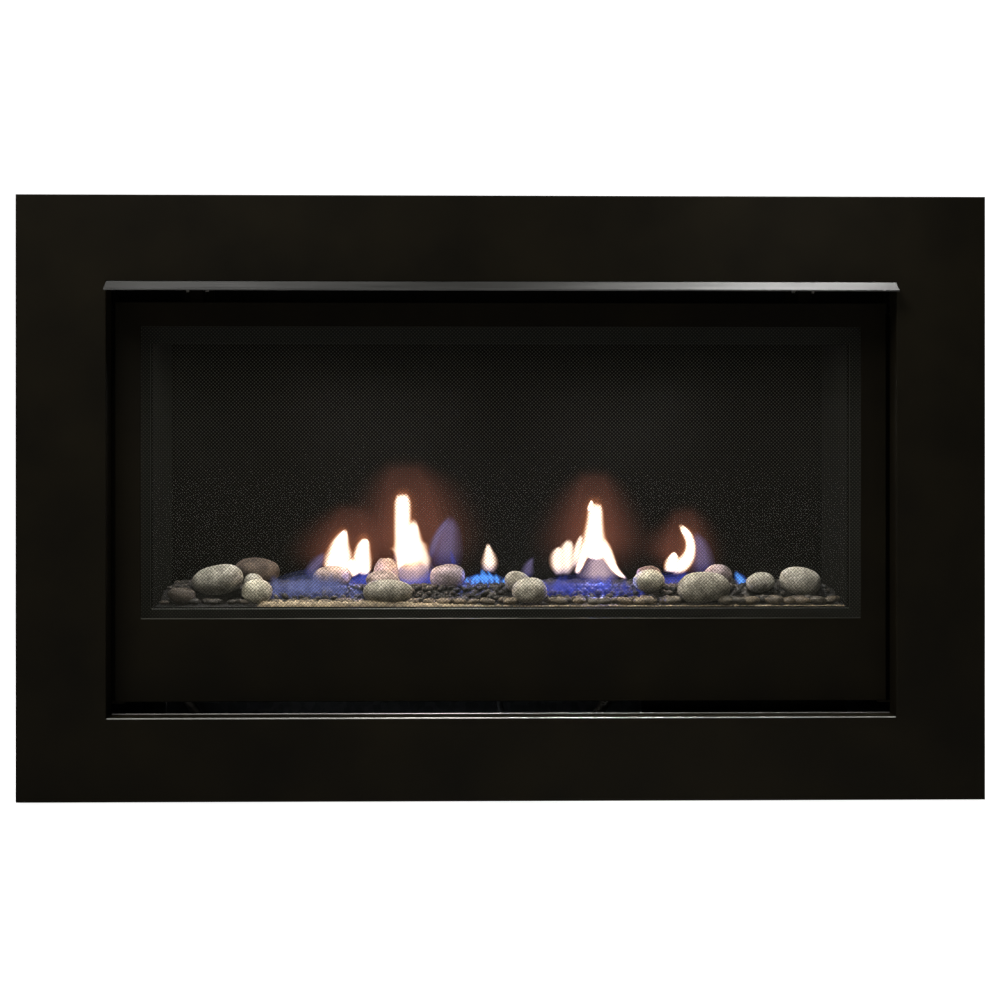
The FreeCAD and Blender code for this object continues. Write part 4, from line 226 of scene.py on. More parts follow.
class Bench:
    """A material on the bench, with the textures that the finishes share."""

    def __init__(self, name: str) -> None:
        """Starts a material with its surface shader.

        Args:
            name: name of the material.
        """
        self.material = bpy.data.materials.new(name)
        self.material.use_nodes = True
        self.tree = self.material.node_tree
        self.shader = self.tree.nodes["Principled BSDF"]

    def enter(self, node: bpy.types.Node, entries: dict[str | int, Entry]) -> None:
        """Fills the inputs of a node.

        Args:
            node: the node.
            entries: a socket to join or a value to set, by the input's name or number.
        """
        for key, entry in entries.items():
            if isinstance(entry, Socket):
                self.tree.links.new(entry, node.inputs[key])
            else:
                node.inputs[key].default_value = entry

    def fix(self, **entries: Entry) -> None:
        """Fills inputs of the surface shader, with underscores for the spaces in their names."""
        self.enter(self.shader, {name.replace("_", " "): entry for name, entry in entries.items()})

    def node(self, kind: str, output: str | int, entries: dict[str | int, Entry], **settings: str) -> Socket:
        """Adds a node.

        Args:
            kind: kind of the node.
            output: name or number of the output that is wanted.
            entries: what goes into its inputs.
            settings: its plain settings.

        Returns:
            The output.
        """
        node = self.tree.nodes.new("ShaderNode" + kind)
        for name, setting in settings.items():
            setattr(node, name, setting)
        self.enter(node, entries)
        return node.outputs[output]

    def place(self, stretch: Place = PLAIN) -> Socket:
        """Gives the place on the piece, drawn out by a factor on each axis."""
        where = self.node("TexCoord", "Object", {})
        return self.node("Mapping", "Vector", {"Vector": where, "Scale": stretch})

    def clouds(self, size: float, layers: float, stretch: Place = PLAIN) -> Socket:
        """Gives cloudy noise from 0 to 1, with lumps of a size in metres and finer layers in them."""
        entries = {"Vector": self.place(stretch), "Scale": 1.0 / size, "Detail": layers}
        return self.node("TexNoise", "Fac", entries)

    def cells(self, size: float) -> Socket:
        """Gives cells of a size in metres, each with its own random colour."""
        return self.node("TexVoronoi", "Color", {"Vector": self.place(), "Scale": 1.0 / size})

    def stripes(self, size: float, axis: str) -> Socket:
        """Gives soft stripes a size apart in metres, across the axis X, Y or Z."""
        entries = {"Vector": self.place(), "Scale": FULL_TURN / WAVE_RADIANS / size}
        return self.node("TexWave", "Fac", entries, bands_direction=axis)

    def between(self, value: Socket, low: float, high: float) -> Socket:
        """Spreads the middle of a pattern between two values."""
        marks = {"From Min": PATTERN_LOW, "From Max": PATTERN_HIGH, "To Min": low, "To Max": high}
        return self.node("MapRange", "Result", {"Value": value, **marks})

    def tint(self, value: Socket, deep: Tone, pale: Tone) -> Socket:
        """Colours the middle of a pattern from a deep to a pale paint chip."""
        return self.mix(self.between(value, 0.0, 1.0), linear(deep), linear(pale), "MIX")

    def mix(self, share: Entry, first: Entry, second: Entry, kind: str = "MULTIPLY") -> Socket:
        """Mixes a share of a second colour into a first, or multiplies by it."""
        entries = {MIX_SHARE: share, MIX_FIRST: first, MIX_SECOND: second}
        return self.node("Mix", MIX_COLOUR, entries, data_type="RGBA", blend_type=kind)

    def reckon(self, operation: str, *values: Entry) -> Socket:
        """Reckons with sockets and plain numbers."""
        return self.node("Math", "Value", dict(enumerate(values)), operation=operation)

    def knuckles(self, pitch: float) -> Socket:
        """Gives 1 where two diagonal wires of a cloth cross, falling to 0 half way to the next crossing.

        It is the product of two waves, one across each set of wires: half of one plus the cosine.

        Args:
            pitch: step from wire to wire along the level, in metres.

        Returns:
            The socket of the pattern.
        """
        turns, waves = FULL_TURN / pitch, []
        for lean in (1.0, -1.0):
            entries = {0: self.node("TexCoord", "Object", {}), 1: (turns, 0.0, lean * turns)}
            across = self.node("VectorMath", "Value", entries, operation="DOT_PRODUCT")
            waves.append(self.reckon("MULTIPLY_ADD", self.reckon("COSINE", across), 0.5, 0.5))
        return self.reckon("MULTIPLY", *waves)

    def own(self, name: str, output: str) -> Socket:
        """Reads an attribute that the piece carries."""
        return self.node("Attribute", output, {}, attribute_name=name)

    def relief(self, height: Socket, depth: float) -> None:
        """Raises the surface by a pattern, a depth in metres from its lowest to its highest."""
        self.fix(Normal=self.node("Bump", "Normal", {"Height": height, "Distance": depth}))


class Grain(Enum):
    """The pattern that breaks up a finish: orange peel, zinc crystals, brushing, casting, yarns or soot.

    Each has the size of the lumps that tint it, over the grain's size, and their layers, and then the
    same for the lumps that raise it. Crystals are tinted cell by cell, and yarns are raised stripes.
    """

    PEEL = (60.0, 5.0, 1.0, 2.0)
    SPANGLE = (1.0, 0.0, 0.2, 3.0)
    BRUSH = (1.0, 4.0, 1.0, 4.0)
    CAST = (8.0, 3.0, 1.0, 5.0)
    WEAVE = (3.0, 3.0, 1.0, 0.0)
    SOOT = (1.0, 6.0, 0.02, 3.0)


@dataclass(frozen=True)
class Finish:
    """One finish of the fireplace, from its two paint chips, its grain and its gloss."""

    slot: str
    deep: Tone
    pale: Tone
    grain: Grain
    size: float
    depth: float
    dull: float
    duller: float
    metal: float = 0.0
    shine: float = 0.5

    def pattern(self, bench: Bench) -> tuple[Socket, Socket]:
        """Lays the grain.

        Args:
            bench: the material on the bench.

        Returns:
            The socket that tints the surface, and the socket that raises it.
        """
        tint_share, tint_layers, relief_share, relief_layers = self.grain.value
        stretch = BRUSHED if self.grain is Grain.BRUSH else PLAIN
        if self.grain is Grain.SPANGLE:
            tinted = bench.cells(self.size * tint_share)
        else:
            tinted = bench.clouds(self.size * tint_share, tint_layers, stretch)
        if self.grain is Grain.WEAVE:
            yarn = self.size * relief_share
            raised = bench.mix(1.0, bench.stripes(yarn, "X"), bench.stripes(yarn, "Z"))
        else:
            raised = bench.clouds(self.size * relief_share, relief_layers, stretch)
        return tinted, raised

    def material(self) -> Paint:
        """Makes the material of this finish.

        Returns:
            The material.
        """
        bench = Bench(self.slot)
        tinted, raised = self.pattern(bench)
        bench.fix(Base_Color=bench.tint(tinted, self.deep, self.pale), Metallic=self.metal)
        bench.fix(Roughness=bench.between(tinted, self.dull, self.duller), Specular_IOR_Level=self.shine)
        bench.relief(raised, self.depth)
        return bench.material


@dataclass(frozen=True)
class PaneGlass:
    """Clear ceramic glass with a faint smoke tint, and the faint film that heat leaves on it."""

    slot: str = "clear_glass"
    tint: Tone = (20.0, 20.0, 19.0)
    cover: float = 0.05
    shine: float = 0.5
    film: float = 0.12
    film_layers: float = 4.0
    dull: float = 0.03
    duller: float = 0.09

    def material(self) -> Paint:
        """Makes the glass.

        Returns:
            The material.
        """
        bench = Bench(self.slot)
        bench.fix(Base_Color=linear(self.tint), Alpha=self.cover, Specular_IOR_Level=self.shine)
        film = bench.clouds(self.film, self.film_layers)
        bench.fix(Roughness=bench.between(film, self.dull, self.duller))
        return bench.material


@dataclass(frozen=True)
class StoneSkin:
    """Water-worn stone, tinted piece by piece by the attribute tone_and_painted_shade.

    The stains and the specks each have a deep and a pale chip, which darken the stone's own tone.
    """

    slot: str
    mottle: float
    speck: float
    depth: float
    dull: float
    shine: float = 0.35
    layers: float = 6.0
    stains: tuple[Tone, Tone] = ((140.0, 136.0, 128.0), (255.0, 252.0, 244.0))
    specks: tuple[Tone, Tone] = ((170.0, 168.0, 162.0), (255.0, 255.0, 255.0))
    speck_share: float = 0.8
    pit_share: float = 2.0

    def material(self) -> Paint:
        """Makes the stone: its own tone, cloudy mottling, pale and dark specks and a pitted skin.

        Returns:
            The material.
        """
        bench = Bench(self.slot)
        stains = bench.tint(bench.clouds(self.mottle, self.layers), *self.stains)
        mottled = bench.mix(1.0, bench.own("tone_and_painted_shade", "Color"), stains)
        speckled = bench.mix(self.speck_share, mottled, bench.tint(bench.cells(self.speck), *self.specks))
        bench.fix(Base_Color=speckled, Roughness=self.dull, Specular_IOR_Level=self.shine)
        bench.relief(bench.clouds(self.speck * self.pit_share, self.layers), self.depth)
        return bench.material


@dataclass(frozen=True)
class WireSkin:
    """Black woven wire, paler on the knuckles where it bends over the next wire, a painted highlight."""

    slot: str = "screen_wire"
    deep: Tone = (4.0, 4.0, 3.0)
    pale: Tone = (52.0, 51.0, 43.0)
    pitch: float = WIRE_PITCH
    dull: float = 0.55
    shine: float = 0.05

    def material(self) -> Paint:
        """Makes the wire.

        Returns:
            The material.
        """
        bench = Bench(self.slot)
        # The knuckles are tinted paler as a painted highlight.
        tone = bench.tint(bench.knuckles(self.pitch), self.deep, self.pale)
        bench.fix(Base_Color=tone, Roughness=self.dull, Specular_IOR_Level=self.shine)
        return bench.material


@dataclass(frozen=True)
class Fire:
    """Glowing gas, whose colour and cover are kept on its points."""

    slot: str = "gas_flame"

    def material(self) -> Paint:
        """Makes the flame: no surface of its own, only light, as thick as its cover.

        Returns:
            The material.
        """
        bench = Bench(self.slot)
        bench.fix(Base_Color=(0.0, 0.0, 0.0, 1.0), Roughness=1.0, Specular_IOR_Level=0.0)
        bench.fix(Emission_Color=bench.own("flame_light", "Color"), Emission_Strength=1.0)
        bench.fix(Alpha=bench.own("flame_cover", "Fac"))
        bench.material.cycles.emission_sampling = "NONE"
        return bench.material


FINISHES: tuple[Finish, ...] = (
    Finish("powder_coat", (6, 5, 3), (10, 8, 4), Grain.PEEL, 0.0016, 0.00002, 0.5, 0.6, 0.0, 0.018),
    Finish("frame_coat", (11, 11, 9), (16, 16, 13), Grain.PEEL, 0.0016, 0.00002, 0.5, 0.6, 0.0, 0.05),
    Finish("hood_coat", (16, 16, 15), (30, 30, 29), Grain.BRUSH, 0.003, 0.00001, 0.34, 0.44, 0.0, 0.42),
    # The next two are bright bare metal that paints highlight lines on edge bars, not a coat of the
    # fireplace.
    Finish("painted_highlight", (122, 122, 118), (152, 152, 148), Grain.BRUSH, 0.004, 0.00001, 0.4, 0.5, 0.6),
    Finish("painted_dim_highlight", (60, 60, 54), (84, 84, 76), Grain.BRUSH, 0.004, 0.00001, 0.4, 0.5, 0.6),
    Finish("galvanised", (116, 119, 122), (134, 137, 140), Grain.SPANGLE, 0.009, 0.00002, 0.4, 0.46, 1.0),
    Finish("firebox_paint", (4, 4, 3), (9, 8, 7), Grain.SOOT, 0.12, 0.0001, 0.85, 0.95, 0.0, 0.02),
    Finish("gasket_rope", (66, 64, 60), (98, 95, 90), Grain.WEAVE, 0.0024, 0.0004, 0.85, 0.95, 0.0, 0.2),
    Finish("aluminised", (108, 110, 112), (140, 142, 144), Grain.BRUSH, 0.004, 0.00002, 0.35, 0.5, 1.0),
    Finish("stainless", (58, 56, 53), (92, 89, 84), Grain.BRUSH, 0.003, 0.00002, 0.22, 0.4, 1.0),
    Finish("screw_zinc", (176, 168, 140), (206, 198, 168), Grain.BRUSH, 0.002, 0.00001, 0.25, 0.4, 1.0),
    Finish("brass", (176, 138, 66), (206, 170, 92), Grain.BRUSH, 0.003, 0.00001, 0.22, 0.36, 1.0),
    Finish("cast_alloy", (120, 122, 122), (152, 154, 154), Grain.CAST, 0.0012, 0.00012, 0.45, 0.6, 0.9),
    Finish("white_ceramic", (214, 210, 200), (236, 233, 226), Grain.CAST, 0.0015, 0.00003, 0.2, 0.3),
    Finish("ferrite", (44, 43, 44), (60, 59, 60), Grain.CAST, 0.001, 0.00004, 0.5, 0.65, 0.3),
    Finish("black_plastic", (20, 20, 21), (30, 30, 31), Grain.CAST, 0.0007, 0.00004, 0.4, 0.5),
    Finish("red_plastic", (150, 20, 16), (176, 30, 22), Grain.CAST, 0.0009, 0.00002, 0.3, 0.4),
    Finish("lead_sleeve", (38, 38, 40), (56, 56, 58), Grain.WEAVE, 0.0012, 0.0002, 0.6, 0.75),
)
OWN_FINISH: dict[str, str] = {"glass_frame": "frame_coat"}
PANE = PaneGlass()
WIRE_SKIN = WireSkin()
RIVER_SKIN = StoneSkin("river_rock", 0.016, 0.0016, 0.0008, 0.72)
PEBBLE_SKIN = StoneSkin("pebble_mix", 0.007, 0.0012, 0.0004, 0.62)
FIRE = Fire()


class Wardrobe:
    """All the materials of the fireplace, by slot."""

    def __init__(self) -> None:
        """Makes every finish once."""
        makers = (*FINISHES, PANE, WIRE_SKIN, RIVER_SKIN, PEBBLE_SKIN, FIRE)
        self.by_slot = {maker.slot: maker.material() for maker in makers}

    def dress(self, piece: Piece, slot: str) -> None:
        """Puts a material on a piece.

        Args:
            piece: the piece.
            slot: slot of the material.
        """
        if not piece.material_slots:
            piece.data.materials.append(self.by_slot[slot])
        for holder in piece.material_slots:
            holder.material = self.by_slot[slot]

    def dress_frame(self, frame: dict) -> None:
        """Puts its finish on every node.

        Args:
            frame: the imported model.
        """
        for part in frame["record"]["subparts"]:
            slot = OWN_FINISH.get(part["node"], part["material_slot"])
            self.dress(frame["nodes"][part["node"]], slot)
            log.info("%s: dressed in %s", part["node"], slot)


@dataclass
class WireCloth:
    """The fine diagonal wire cloth of the safety screen."""

    wardrobe: Wardrobe
    pitch: float = WIRE_PITCH
    half_wire: float = 0.23 * MM

    def crossed(self, low: np.ndarray, high: np.ndarray, lean: int, y: float) -> np.ndarray:
        """Lays parallel straight wires at 45 degrees over a rectangle.

        A wire is the part inside the rectangle of the line where x minus lean times z is a whole
        number of pitches. Its section is a square on its corner.

        Args:
            low: lowest corner of the rectangle.
            high: highest corner of the rectangle.
            lean: 1 for wires that rise to the right, -1 for wires that fall.
            y: depth of the wires' middle.

        Returns:
            Array of wires by eight points by three.
        """
        ends = np.sort([lean * low[2], lean * high[2]])
        first = math.floor((low[0] - ends[1]) / self.pitch) + 1
        last = math.ceil((high[0] - ends[0]) / self.pitch)
        offset = np.arange(first, last) * self.pitch
        start_x = np.maximum(low[0], offset + ends[0])
        end_x = np.minimum(high[0], offset + ends[1])
        x = np.stack([start_x, end_x], axis=1)
        z = (x - offset[:, None]) * lean
        side = self.half_wire / math.sqrt(2.0)
        section = np.array([[0, -1, 0], [1, 0, -lean], [0, 1, 0], [-1, 0, lean]], dtype=float)
        section *= np.array([side, self.half_wire, side])
        line = np.stack([x, np.full_like(x, y), z], axis=-1)
        return (line[:, :, None, :] + section[None, None]).reshape(len(offset), WIRE_POINTS, 3)

    def build(self) -> None:
        """Weaves both layers in place of the plain net."""
        low, high = (np.array(corner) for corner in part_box("screen_mesh"))
        middle = (low[1] + high[1]) / 2
        rising = self.crossed(low, high, 1, middle - self.half_wire)
        falling = self.crossed(low, high, -1, middle + self.half_wire)
        sides = np.array([[0, 1, 5, 4], [1, 2, 6, 5], [2, 3, 7, 6], [3, 0, 4, 7], [3, 2, 1, 0], [4, 5, 6, 7]])
        mirrored = sides[:, ::-1]
        step = np.arange(len(rising))[:, None, None] * WIRE_POINTS
        next_step = (len(rising) + np.arange(len(falling)))[:, None, None] * WIRE_POINTS
        faces = [*(sides + step).reshape(-1, 4).tolist(), *(mirrored + next_step).reshape(-1, 4).tolist()]
        points = np.concatenate([rising, falling]).reshape(-1, 3)
        cloth = new_piece("wire_cloth", points, faces, SCREEN_BODY, False)
        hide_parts("screen_mesh")
        self.wardrobe.dress(cloth, "screen_wire")


@dataclass(frozen=True)
class HighlightEdge:
    """A painted highlight along a straight edge across the front, a bright bar in a fold that stands in for
    its glint: its body, middle, size in mm and finish.
    """

    name: str
    body: str
    y: float
    z: float
    half_length: float
    radius: float
    slot: str
    around: int = 16

    def build(self, wardrobe: Wardrobe) -> None:
        """Makes the edge as a round bar in the corner of the sheet, along a straight line across.

        Args:
            wardrobe: the materials.
        """
        y, z, half, radius = (size * MM for size in (self.y, self.z, self.half_length, self.radius))
        angle = FULL_TURN * np.arange(self.around) / self.around
        x = np.repeat([-half, half], self.around)
        ring_y = y + radius * np.tile(np.sin(angle), 2)
        ring_z = z + radius * np.tile(np.cos(angle), 2)
        points = np.concatenate([np.stack([x, ring_y, ring_z], axis=-1), [[-half, y, z], [half, y, z]]])
        edge = new_piece(self.name, points, skin_faces(2, self.around, 1), self.body, True)
        wardrobe.dress(edge, self.slot)


# Painted highlights: bright bars on the folds of the surround's bottom return, on the screen's window edge
# and on the glass frame's rail, standing in for their glints.
HIGHLIGHT_EDGES: tuple[HighlightEdge, ...] = (
    HighlightEdge("return_edge_front", SURROUND_BODY, -176.1, 104.2, 480.0, 0.95, "painted_highlight"),
    HighlightEdge("return_edge_rear", SURROUND_BODY, -139.7, 105.0, 480.0, 0.95, "painted_highlight"),
    HighlightEdge("screen_edge", SCREEN_BODY, -136.3, 222.4, 445.0, 0.65, "painted_dim_highlight"),
    HighlightEdge("glass_edge", GLASS_BODY, -92.3, 231.6, 439.0, 0.9, "painted_highlight"),
)


@dataclass(frozen=True)
class Stone:
    """One river stone: its place on the bed, its size, how it lies and its tone."""

    across_share: float
    back_share: float
    width_share: float
    depth_share: float
    height_share: float
    turn: float
    tone: Tone
    roll: float = 0.0


GREY: Tone = (192, 190, 180)
GREEN_GREY: Tone = (186, 182, 168)
LILAC_GREY: Tone = (190, 174, 182)
# A brown darkened as painted shade, for the stone in the shadow at the left end.
BROWN_GREY: Tone = (112, 99, 90)
PAINTED_SHADE_BROWN: Tone = (82, 73, 64)
PALE_GREY: Tone = (222, 219, 200)
ROSE_GREY: Tone = (208, 186, 180)
DARK_ROSE: Tone = (150, 124, 120)

RIVER_STONES: tuple[Stone, ...] = (
    Stone(-0.923, 0.085, 0.50, 0.42, 0.33, 10.0, PAINTED_SHADE_BROWN),
    Stone(-0.830, 0.247, 0.96, 0.75, 0.54, -14.0, GREY, 11.0),
    Stone(-0.739, 0.702, 0.86, 0.62, 0.57, 8.0, BROWN_GREY),
    Stone(-0.706, 0.085, 0.58, 0.48, 0.48, 0.0, PALE_GREY, -4.0),
    Stone(-0.724, 0.252, 0.38, 0.33, 0.41, 0.0, GREY),
    Stone(-0.499, 0.432, 0.71, 0.57, 0.44, 12.0, ROSE_GREY),
    Stone(-0.330, 0.103, 0.93, 0.66, 0.46, 4.0, GREEN_GREY),
    Stone(-0.345, 0.279, 0.62, 0.48, 0.39, -10.0, ROSE_GREY, 3.0),
    Stone(-0.342, 0.590, 0.46, 0.39, 0.57, 0.0, ROSE_GREY),
    Stone(-0.258, 0.608, 0.58, 0.45, 0.57, 6.0, ROSE_GREY),
    Stone(-0.157, 0.409, 0.67, 0.54, 0.48, -8.0, LILAC_GREY),
    Stone(0.050, 0.279, 0.51, 0.45, 0.36, 0.0, GREEN_GREY, -8.0),
    Stone(0.084, 0.094, 0.66, 0.51, 0.49, 12.0, GREEN_GREY, 4.0),
    Stone(0.440, 0.279, 0.57, 0.48, 0.40, 0.0, PALE_GREY, 5.0),
    Stone(0.447, 0.477, 0.53, 0.42, 0.41, 15.0, DARK_ROSE),
    Stone(0.589, 0.108, 0.96, 0.66, 0.60, -5.0, GREEN_GREY, 5.0),
    Stone(0.655, 0.387, 0.54, 0.48, 0.47, 0.0, LILAC_GREY),
    Stone(0.767, 0.265, 0.53, 0.45, 0.39, 9.0, GREY, 8.0),
    Stone(0.887, 0.229, 0.79, 0.66, 0.54, -6.0, GREY, -6.0),
)

SAND: Tone = (186, 168, 138)
SOOTY_GRIT: Tone = (26, 25, 24)


@dataclass(frozen=True)
class Loose:
    """How loose pieces lie on the bed, and their tones.

    A span is the lowest and highest of values drawn evenly: the length, the depth and the height over
    the length, and the shade. The lie has an angle's name, its kind of draw and that draw's two values,
    in the order of drawing. The seat is the share of the half height that a piece's middle stands up.
    """

    name: str
    seed: int
    pitch: float
    row_pitch: float
    rings: int
    around: int
    lengths: Span
    depths: Span
    heights: Span
    lump: float
    lie: tuple[tuple[str, str, float, float], ...]
    seat: float
    shades: Span
    tones: tuple[Tone, ...]


PEBBLES = Loose(
    "bed_pebbles", seed=0, pitch=21.0 * MM, row_pitch=15.0 * MM, rings=6, around=12,
    lengths=(0.85, 1.15), depths=(0.6, 0.8), heights=(0.4, 0.52), lump=0.08, seat=0.7, shades=(0.75, 1.15),
    lie=(("tilt", "normal", 0.1, 0.1), ("turn", "uniform", -0.5, 0.5), ("roll", "normal", 0.0, 0.1)),
    tones=((140, 125, 102), (122, 111, 94), (152, 136, 114), (104, 97, 84)),
)
GRAVEL = Loose(
    "bed_gravel", seed=3, pitch=10.5 * MM, row_pitch=8.5 * MM, rings=4, around=7,
    lengths=(3.6, 6.6), depths=(0.7, 0.95), heights=(0.5, 0.75), lump=0.16, seat=0.3, shades=(0.7, 1.2),
    lie=(("turn", "uniform", -3.0, 3.0), ("tilt", "normal", 0.0, 0.4), ("roll", "normal", 0.0, 0.3)),
    tones=((54, 52, 50), (70, 66, 62), (40, 39, 38), (92, 86, 80)),
)


@dataclass
class FireBed:
    """The grit in the tray, the pebbles and gravel on it and the river stones on top."""

    wardrobe: Wardrobe
    half_length: float = 441.0 * MM
    front: float = -70.9 * MM
    ramp_foot: float = -30.0 * MM
    ramp_top: float = 0.0
    rear: float = 151.1 * MM
    tray_top: float = 223.5 * MM
    front_top: float = 235.5 * MM
    rear_top: float = 251.5 * MM
    largest_stone: float = 33.5 * MM
    swell: float = 1.03
    # Left of shade_end the bed is painted in shadow, and right of dusk_start the pebbles are painted darker.
    shade_end: float = -310.0 * MM
    dusk_start: float = 300.0 * MM
    bank_rise: float = 6.5 * MM
    bank_back: float = 9.0 * MM
    bank_half: float = 7.0 * MM
    bank_blur: float = 6.0 * MM
    bank_fade: float = 170.0 * MM
    seed: int = 20417

    def height(self, y: np.ndarray) -> np.ndarray:
        """Gives the height of the bed: a flat strip in front, a ramp, and a flat top."""
        share = np.clip((y - self.ramp_foot) / (self.ramp_top - self.ramp_foot), 0.0, 1.0)
        return self.front_top + (self.rear_top - self.front_top) * share

    def stone_places(self) -> tuple[np.ndarray, np.ndarray, np.ndarray]:
        """Works the river stones' shares out to metres.

        Returns:
            Their places across, their places back, and their half sizes.
        """
        shares = np.array([[s.across_share, s.back_share] for s in RIVER_STONES])
        half = np.array([[s.width_share, s.depth_share, s.height_share] for s in RIVER_STONES])
        y = self.front + shares[:, 1] * (self.rear - self.front)
        return shares[:, 0] * self.half_length, y, half * self.largest_stone

    def lumps(self, rng: Dice, copies: int, ball: np.ndarray, amount: float) -> np.ndarray:
        """Gives each copy of a ball its own gentle lumps.

        The lump at a point is a sum of five sine waves across the ball, each with its own random
        direction, wavelength and phase.

        Args:
            rng: source of random numbers.
            copies: how many different skins.
            ball: points of the unit ball.
            amount: height of one wave, as a share of the radius.

        Returns:
            Array of copies by points, factors on the radius.
        """
        waves, rates, gain = 5, (0.8, 2.6), 2.0
        direction = rng.normal(size=(copies, waves, 3)) * rng.uniform(*rates, size=(copies, waves, 1))
        phase = rng.uniform(0.0, FULL_TURN, size=(copies, 1, waves))
        swell = np.sin(np.einsum("nkc,mc->nmk", direction, ball) + phase)
        return 1.0 + amount * swell.mean(axis=-1) * gain

    def turned(self, points: np.ndarray, turn: np.ndarray, tilt: np.ndarray, roll: np.ndarray) -> np.ndarray:
        """Tilts each copy about its length, rolls it about its depth, then turns it about the upright.

        Args:
            points: array of copies by points by three.
            turn: angle of each copy about the upright, in radians.
            tilt: angle of each copy about its own length, in radians.
            roll: angle of each copy in the plane of the front, its right end up, in radians.

        Returns:
            Array of the same shape.
        """
        x, y, z = points[..., 0], points[..., 1], points[..., 2]
        c, s = np.cos(tilt)[:, None], np.sin(tilt)[:, None]
        y, z = y * c - z * s, y * s + z * c
        c, s = np.cos(roll)[:, None], np.sin(roll)[:, None]
        x, z = x * c - z * s, x * s + z * c
        c, s = np.cos(turn)[:, None], np.sin(turn)[:, None]
        return np.stack([x * c - y * s, x * s + y * c, z], axis=-1)

    def build_grit(self) -> None:
        """Makes the sooty grit under the pebbles.

        Its top is a grid over the bed, a little under the bed's height and roughened at random; its rim goes
        down to the tray. Its front edge is pale sand, but for the left end, which stays sooty as painted
        shadow, and banked up there by a bell curve back from the edge that fades towards the middle.
        """
        rng = np.random.default_rng(self.seed + 2)
        columns, rows, depth, rough = 294, 74, 2.5 * MM, 0.9 * MM
        sand_band, sand_bank, sand_blur = 9.0 * MM, 8.0 * MM, 4.0 * MM
        x = np.linspace(-self.half_length, self.half_length, columns)[None, :] * np.ones((rows, 1))
        y = np.linspace(self.front, self.rear, rows)[:, None] * np.ones((1, columns))
        z = self.height(y) - depth + rng.normal(0.0, rough, (rows, columns))
        past_shade = x - self.shade_end
        ends = np.clip(past_shade / self.bank_blur, 0.0, 1.0) * np.clip(-x / self.bank_fade, 0.0, 1.0)
        ridge = np.exp(-(((y - self.front - self.bank_back) / self.bank_half) ** 2))
        z = z + self.bank_rise * ends * ridge
        edge = np.zeros((rows, columns), dtype=bool)
        edge[0], edge[-1], edge[:, 0], edge[:, -1] = True, True, True, True
        z = np.where(edge, self.tray_top, z)
        number = np.arange(rows * columns).reshape(rows, columns)
        quads = np.stack([number[:-1, :-1], number[:-1, 1:], number[1:, 1:], number[1:, :-1]], axis=-1)
        points = np.stack([x, y, z], axis=-1).reshape(-1, 3)
        rim = np.concatenate([number[:, 0], number[-1, 1:], number[-2::-1, -1], number[0, -2:0:-1]])
        faces = [*quads.reshape(-1, 4).tolist(), rim.tolist()]
        grit = new_piece("bed_grit", points, faces, FIXED_BODY, True)
        sand = np.clip((self.front + sand_band + sand_bank * ends - y) / sand_blur, 0.0, 1.0)
        # The sand stops short of the left end, which stays sooty as painted shadow.
        sand = sand * np.clip(past_shade / sand_blur, 0.0, 1.0)
        sooty = np.array(linear(SOOTY_GRIT))
        self.finish_bed(grit, sooty + sand.reshape(-1, 1) * (np.array(linear(SAND)) - sooty))

    def finish_bed(self, piece: Piece, tone: np.ndarray) -> None:
        """Dresses a piece of the bed in place of the plain bed.

        Args:
            piece: the piece.
            tone: the tone of each of its points, with painted light and shade.
        """
        store(piece, "tone_and_painted_shade", tone)
        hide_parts("pebble_bed")
        self.wardrobe.dress(piece, "pebble_mix")

    def strewn(self, rng: Dice, loose: Loose, front: float, rear: float) -> Spots:
        """Finds places for loose pieces, clear of the river stones.

        They stand on a grid whose every other row is shifted by half a pitch, each moved at random.

        Args:
            rng: source of random numbers.
            loose: the pieces.
            front: depth of the first row.
            rear: depth that the last row stays in front of.

        Returns:
            Places across and back.
        """
        margin, stray, footing = 11.0 * MM, 0.18, 0.85
        columns = np.arange(-self.half_length + margin, self.half_length - margin, loose.pitch)
        rows = np.arange(front, rear, loose.row_pitch)
        x = (columns[None, :] + (np.arange(len(rows)) % 2)[:, None] * loose.pitch / 2).ravel()
        y = (rows[:, None] * np.ones((1, len(columns)))).ravel()
        x = x + rng.normal(0.0, stray * loose.pitch, len(x))
        y = y + rng.normal(0.0, stray * loose.row_pitch, len(y))
        x = np.clip(x, -self.half_length + margin, self.half_length - margin)
        y = np.clip(y, self.front + margin, self.rear - margin)
        stone_x, stone_y, half = self.stone_places()
        off_x = (x[:, None] - stone_x) / (half[:, 0] * footing)
        off_y = (y[:, None] - stone_y) / (half[:, 1] * footing)
        clear = (off_x**2 + off_y**2).min(axis=1) > 1.0
        return x[clear], y[clear]

    def scatter(self, rng: Dice, loose: Loose, spots: Spots, unit: np.ndarray, shade: np.ndarray) -> None:
        """Makes a layer of loose pieces, each a lumpy ball stretched to its size and laid on the bed.

        Args:
            rng: source of random numbers.
            loose: the pieces.
            spots: their places across, and their places back.
            unit: what each length is a multiple of.
            shade: factor on each tone, which paints light and shade on it.
        """
        x, y = spots
        count = len(x)
        ball = ball_points(loose.rings, loose.around)
        length = unit * rng.uniform(*loose.lengths, count)
        depth, height = rng.uniform(*loose.depths, count), rng.uniform(*loose.heights, count)
        half = length[:, None] * np.stack([np.ones(count), depth, height], axis=-1)
        points = ball[None] * self.lumps(rng, count, ball, loose.lump)[..., None] * half[:, None, :]
        angles = {angle: getattr(rng, draw)(first, second, count) for angle, draw, first, second in loose.lie}
        points = self.turned(points, **angles)
        points = points + np.stack([x, y, self.height(y) + half[:, 2] * loose.seat], axis=-1)[:, None, :]
        tones = np.array([linear(tone) for tone in loose.tones])[rng.integers(0, len(loose.tones), count)]
        tones[:, :3] *= (shade * rng.uniform(*loose.shades, count))[:, None]
        faces = skin_faces(loose.rings, loose.around, count)
        layer = new_piece(loose.name, points.reshape(-1, 3), faces, FIXED_BODY, True)
        self.finish_bed(layer, np.repeat(tones, len(ball), axis=0))

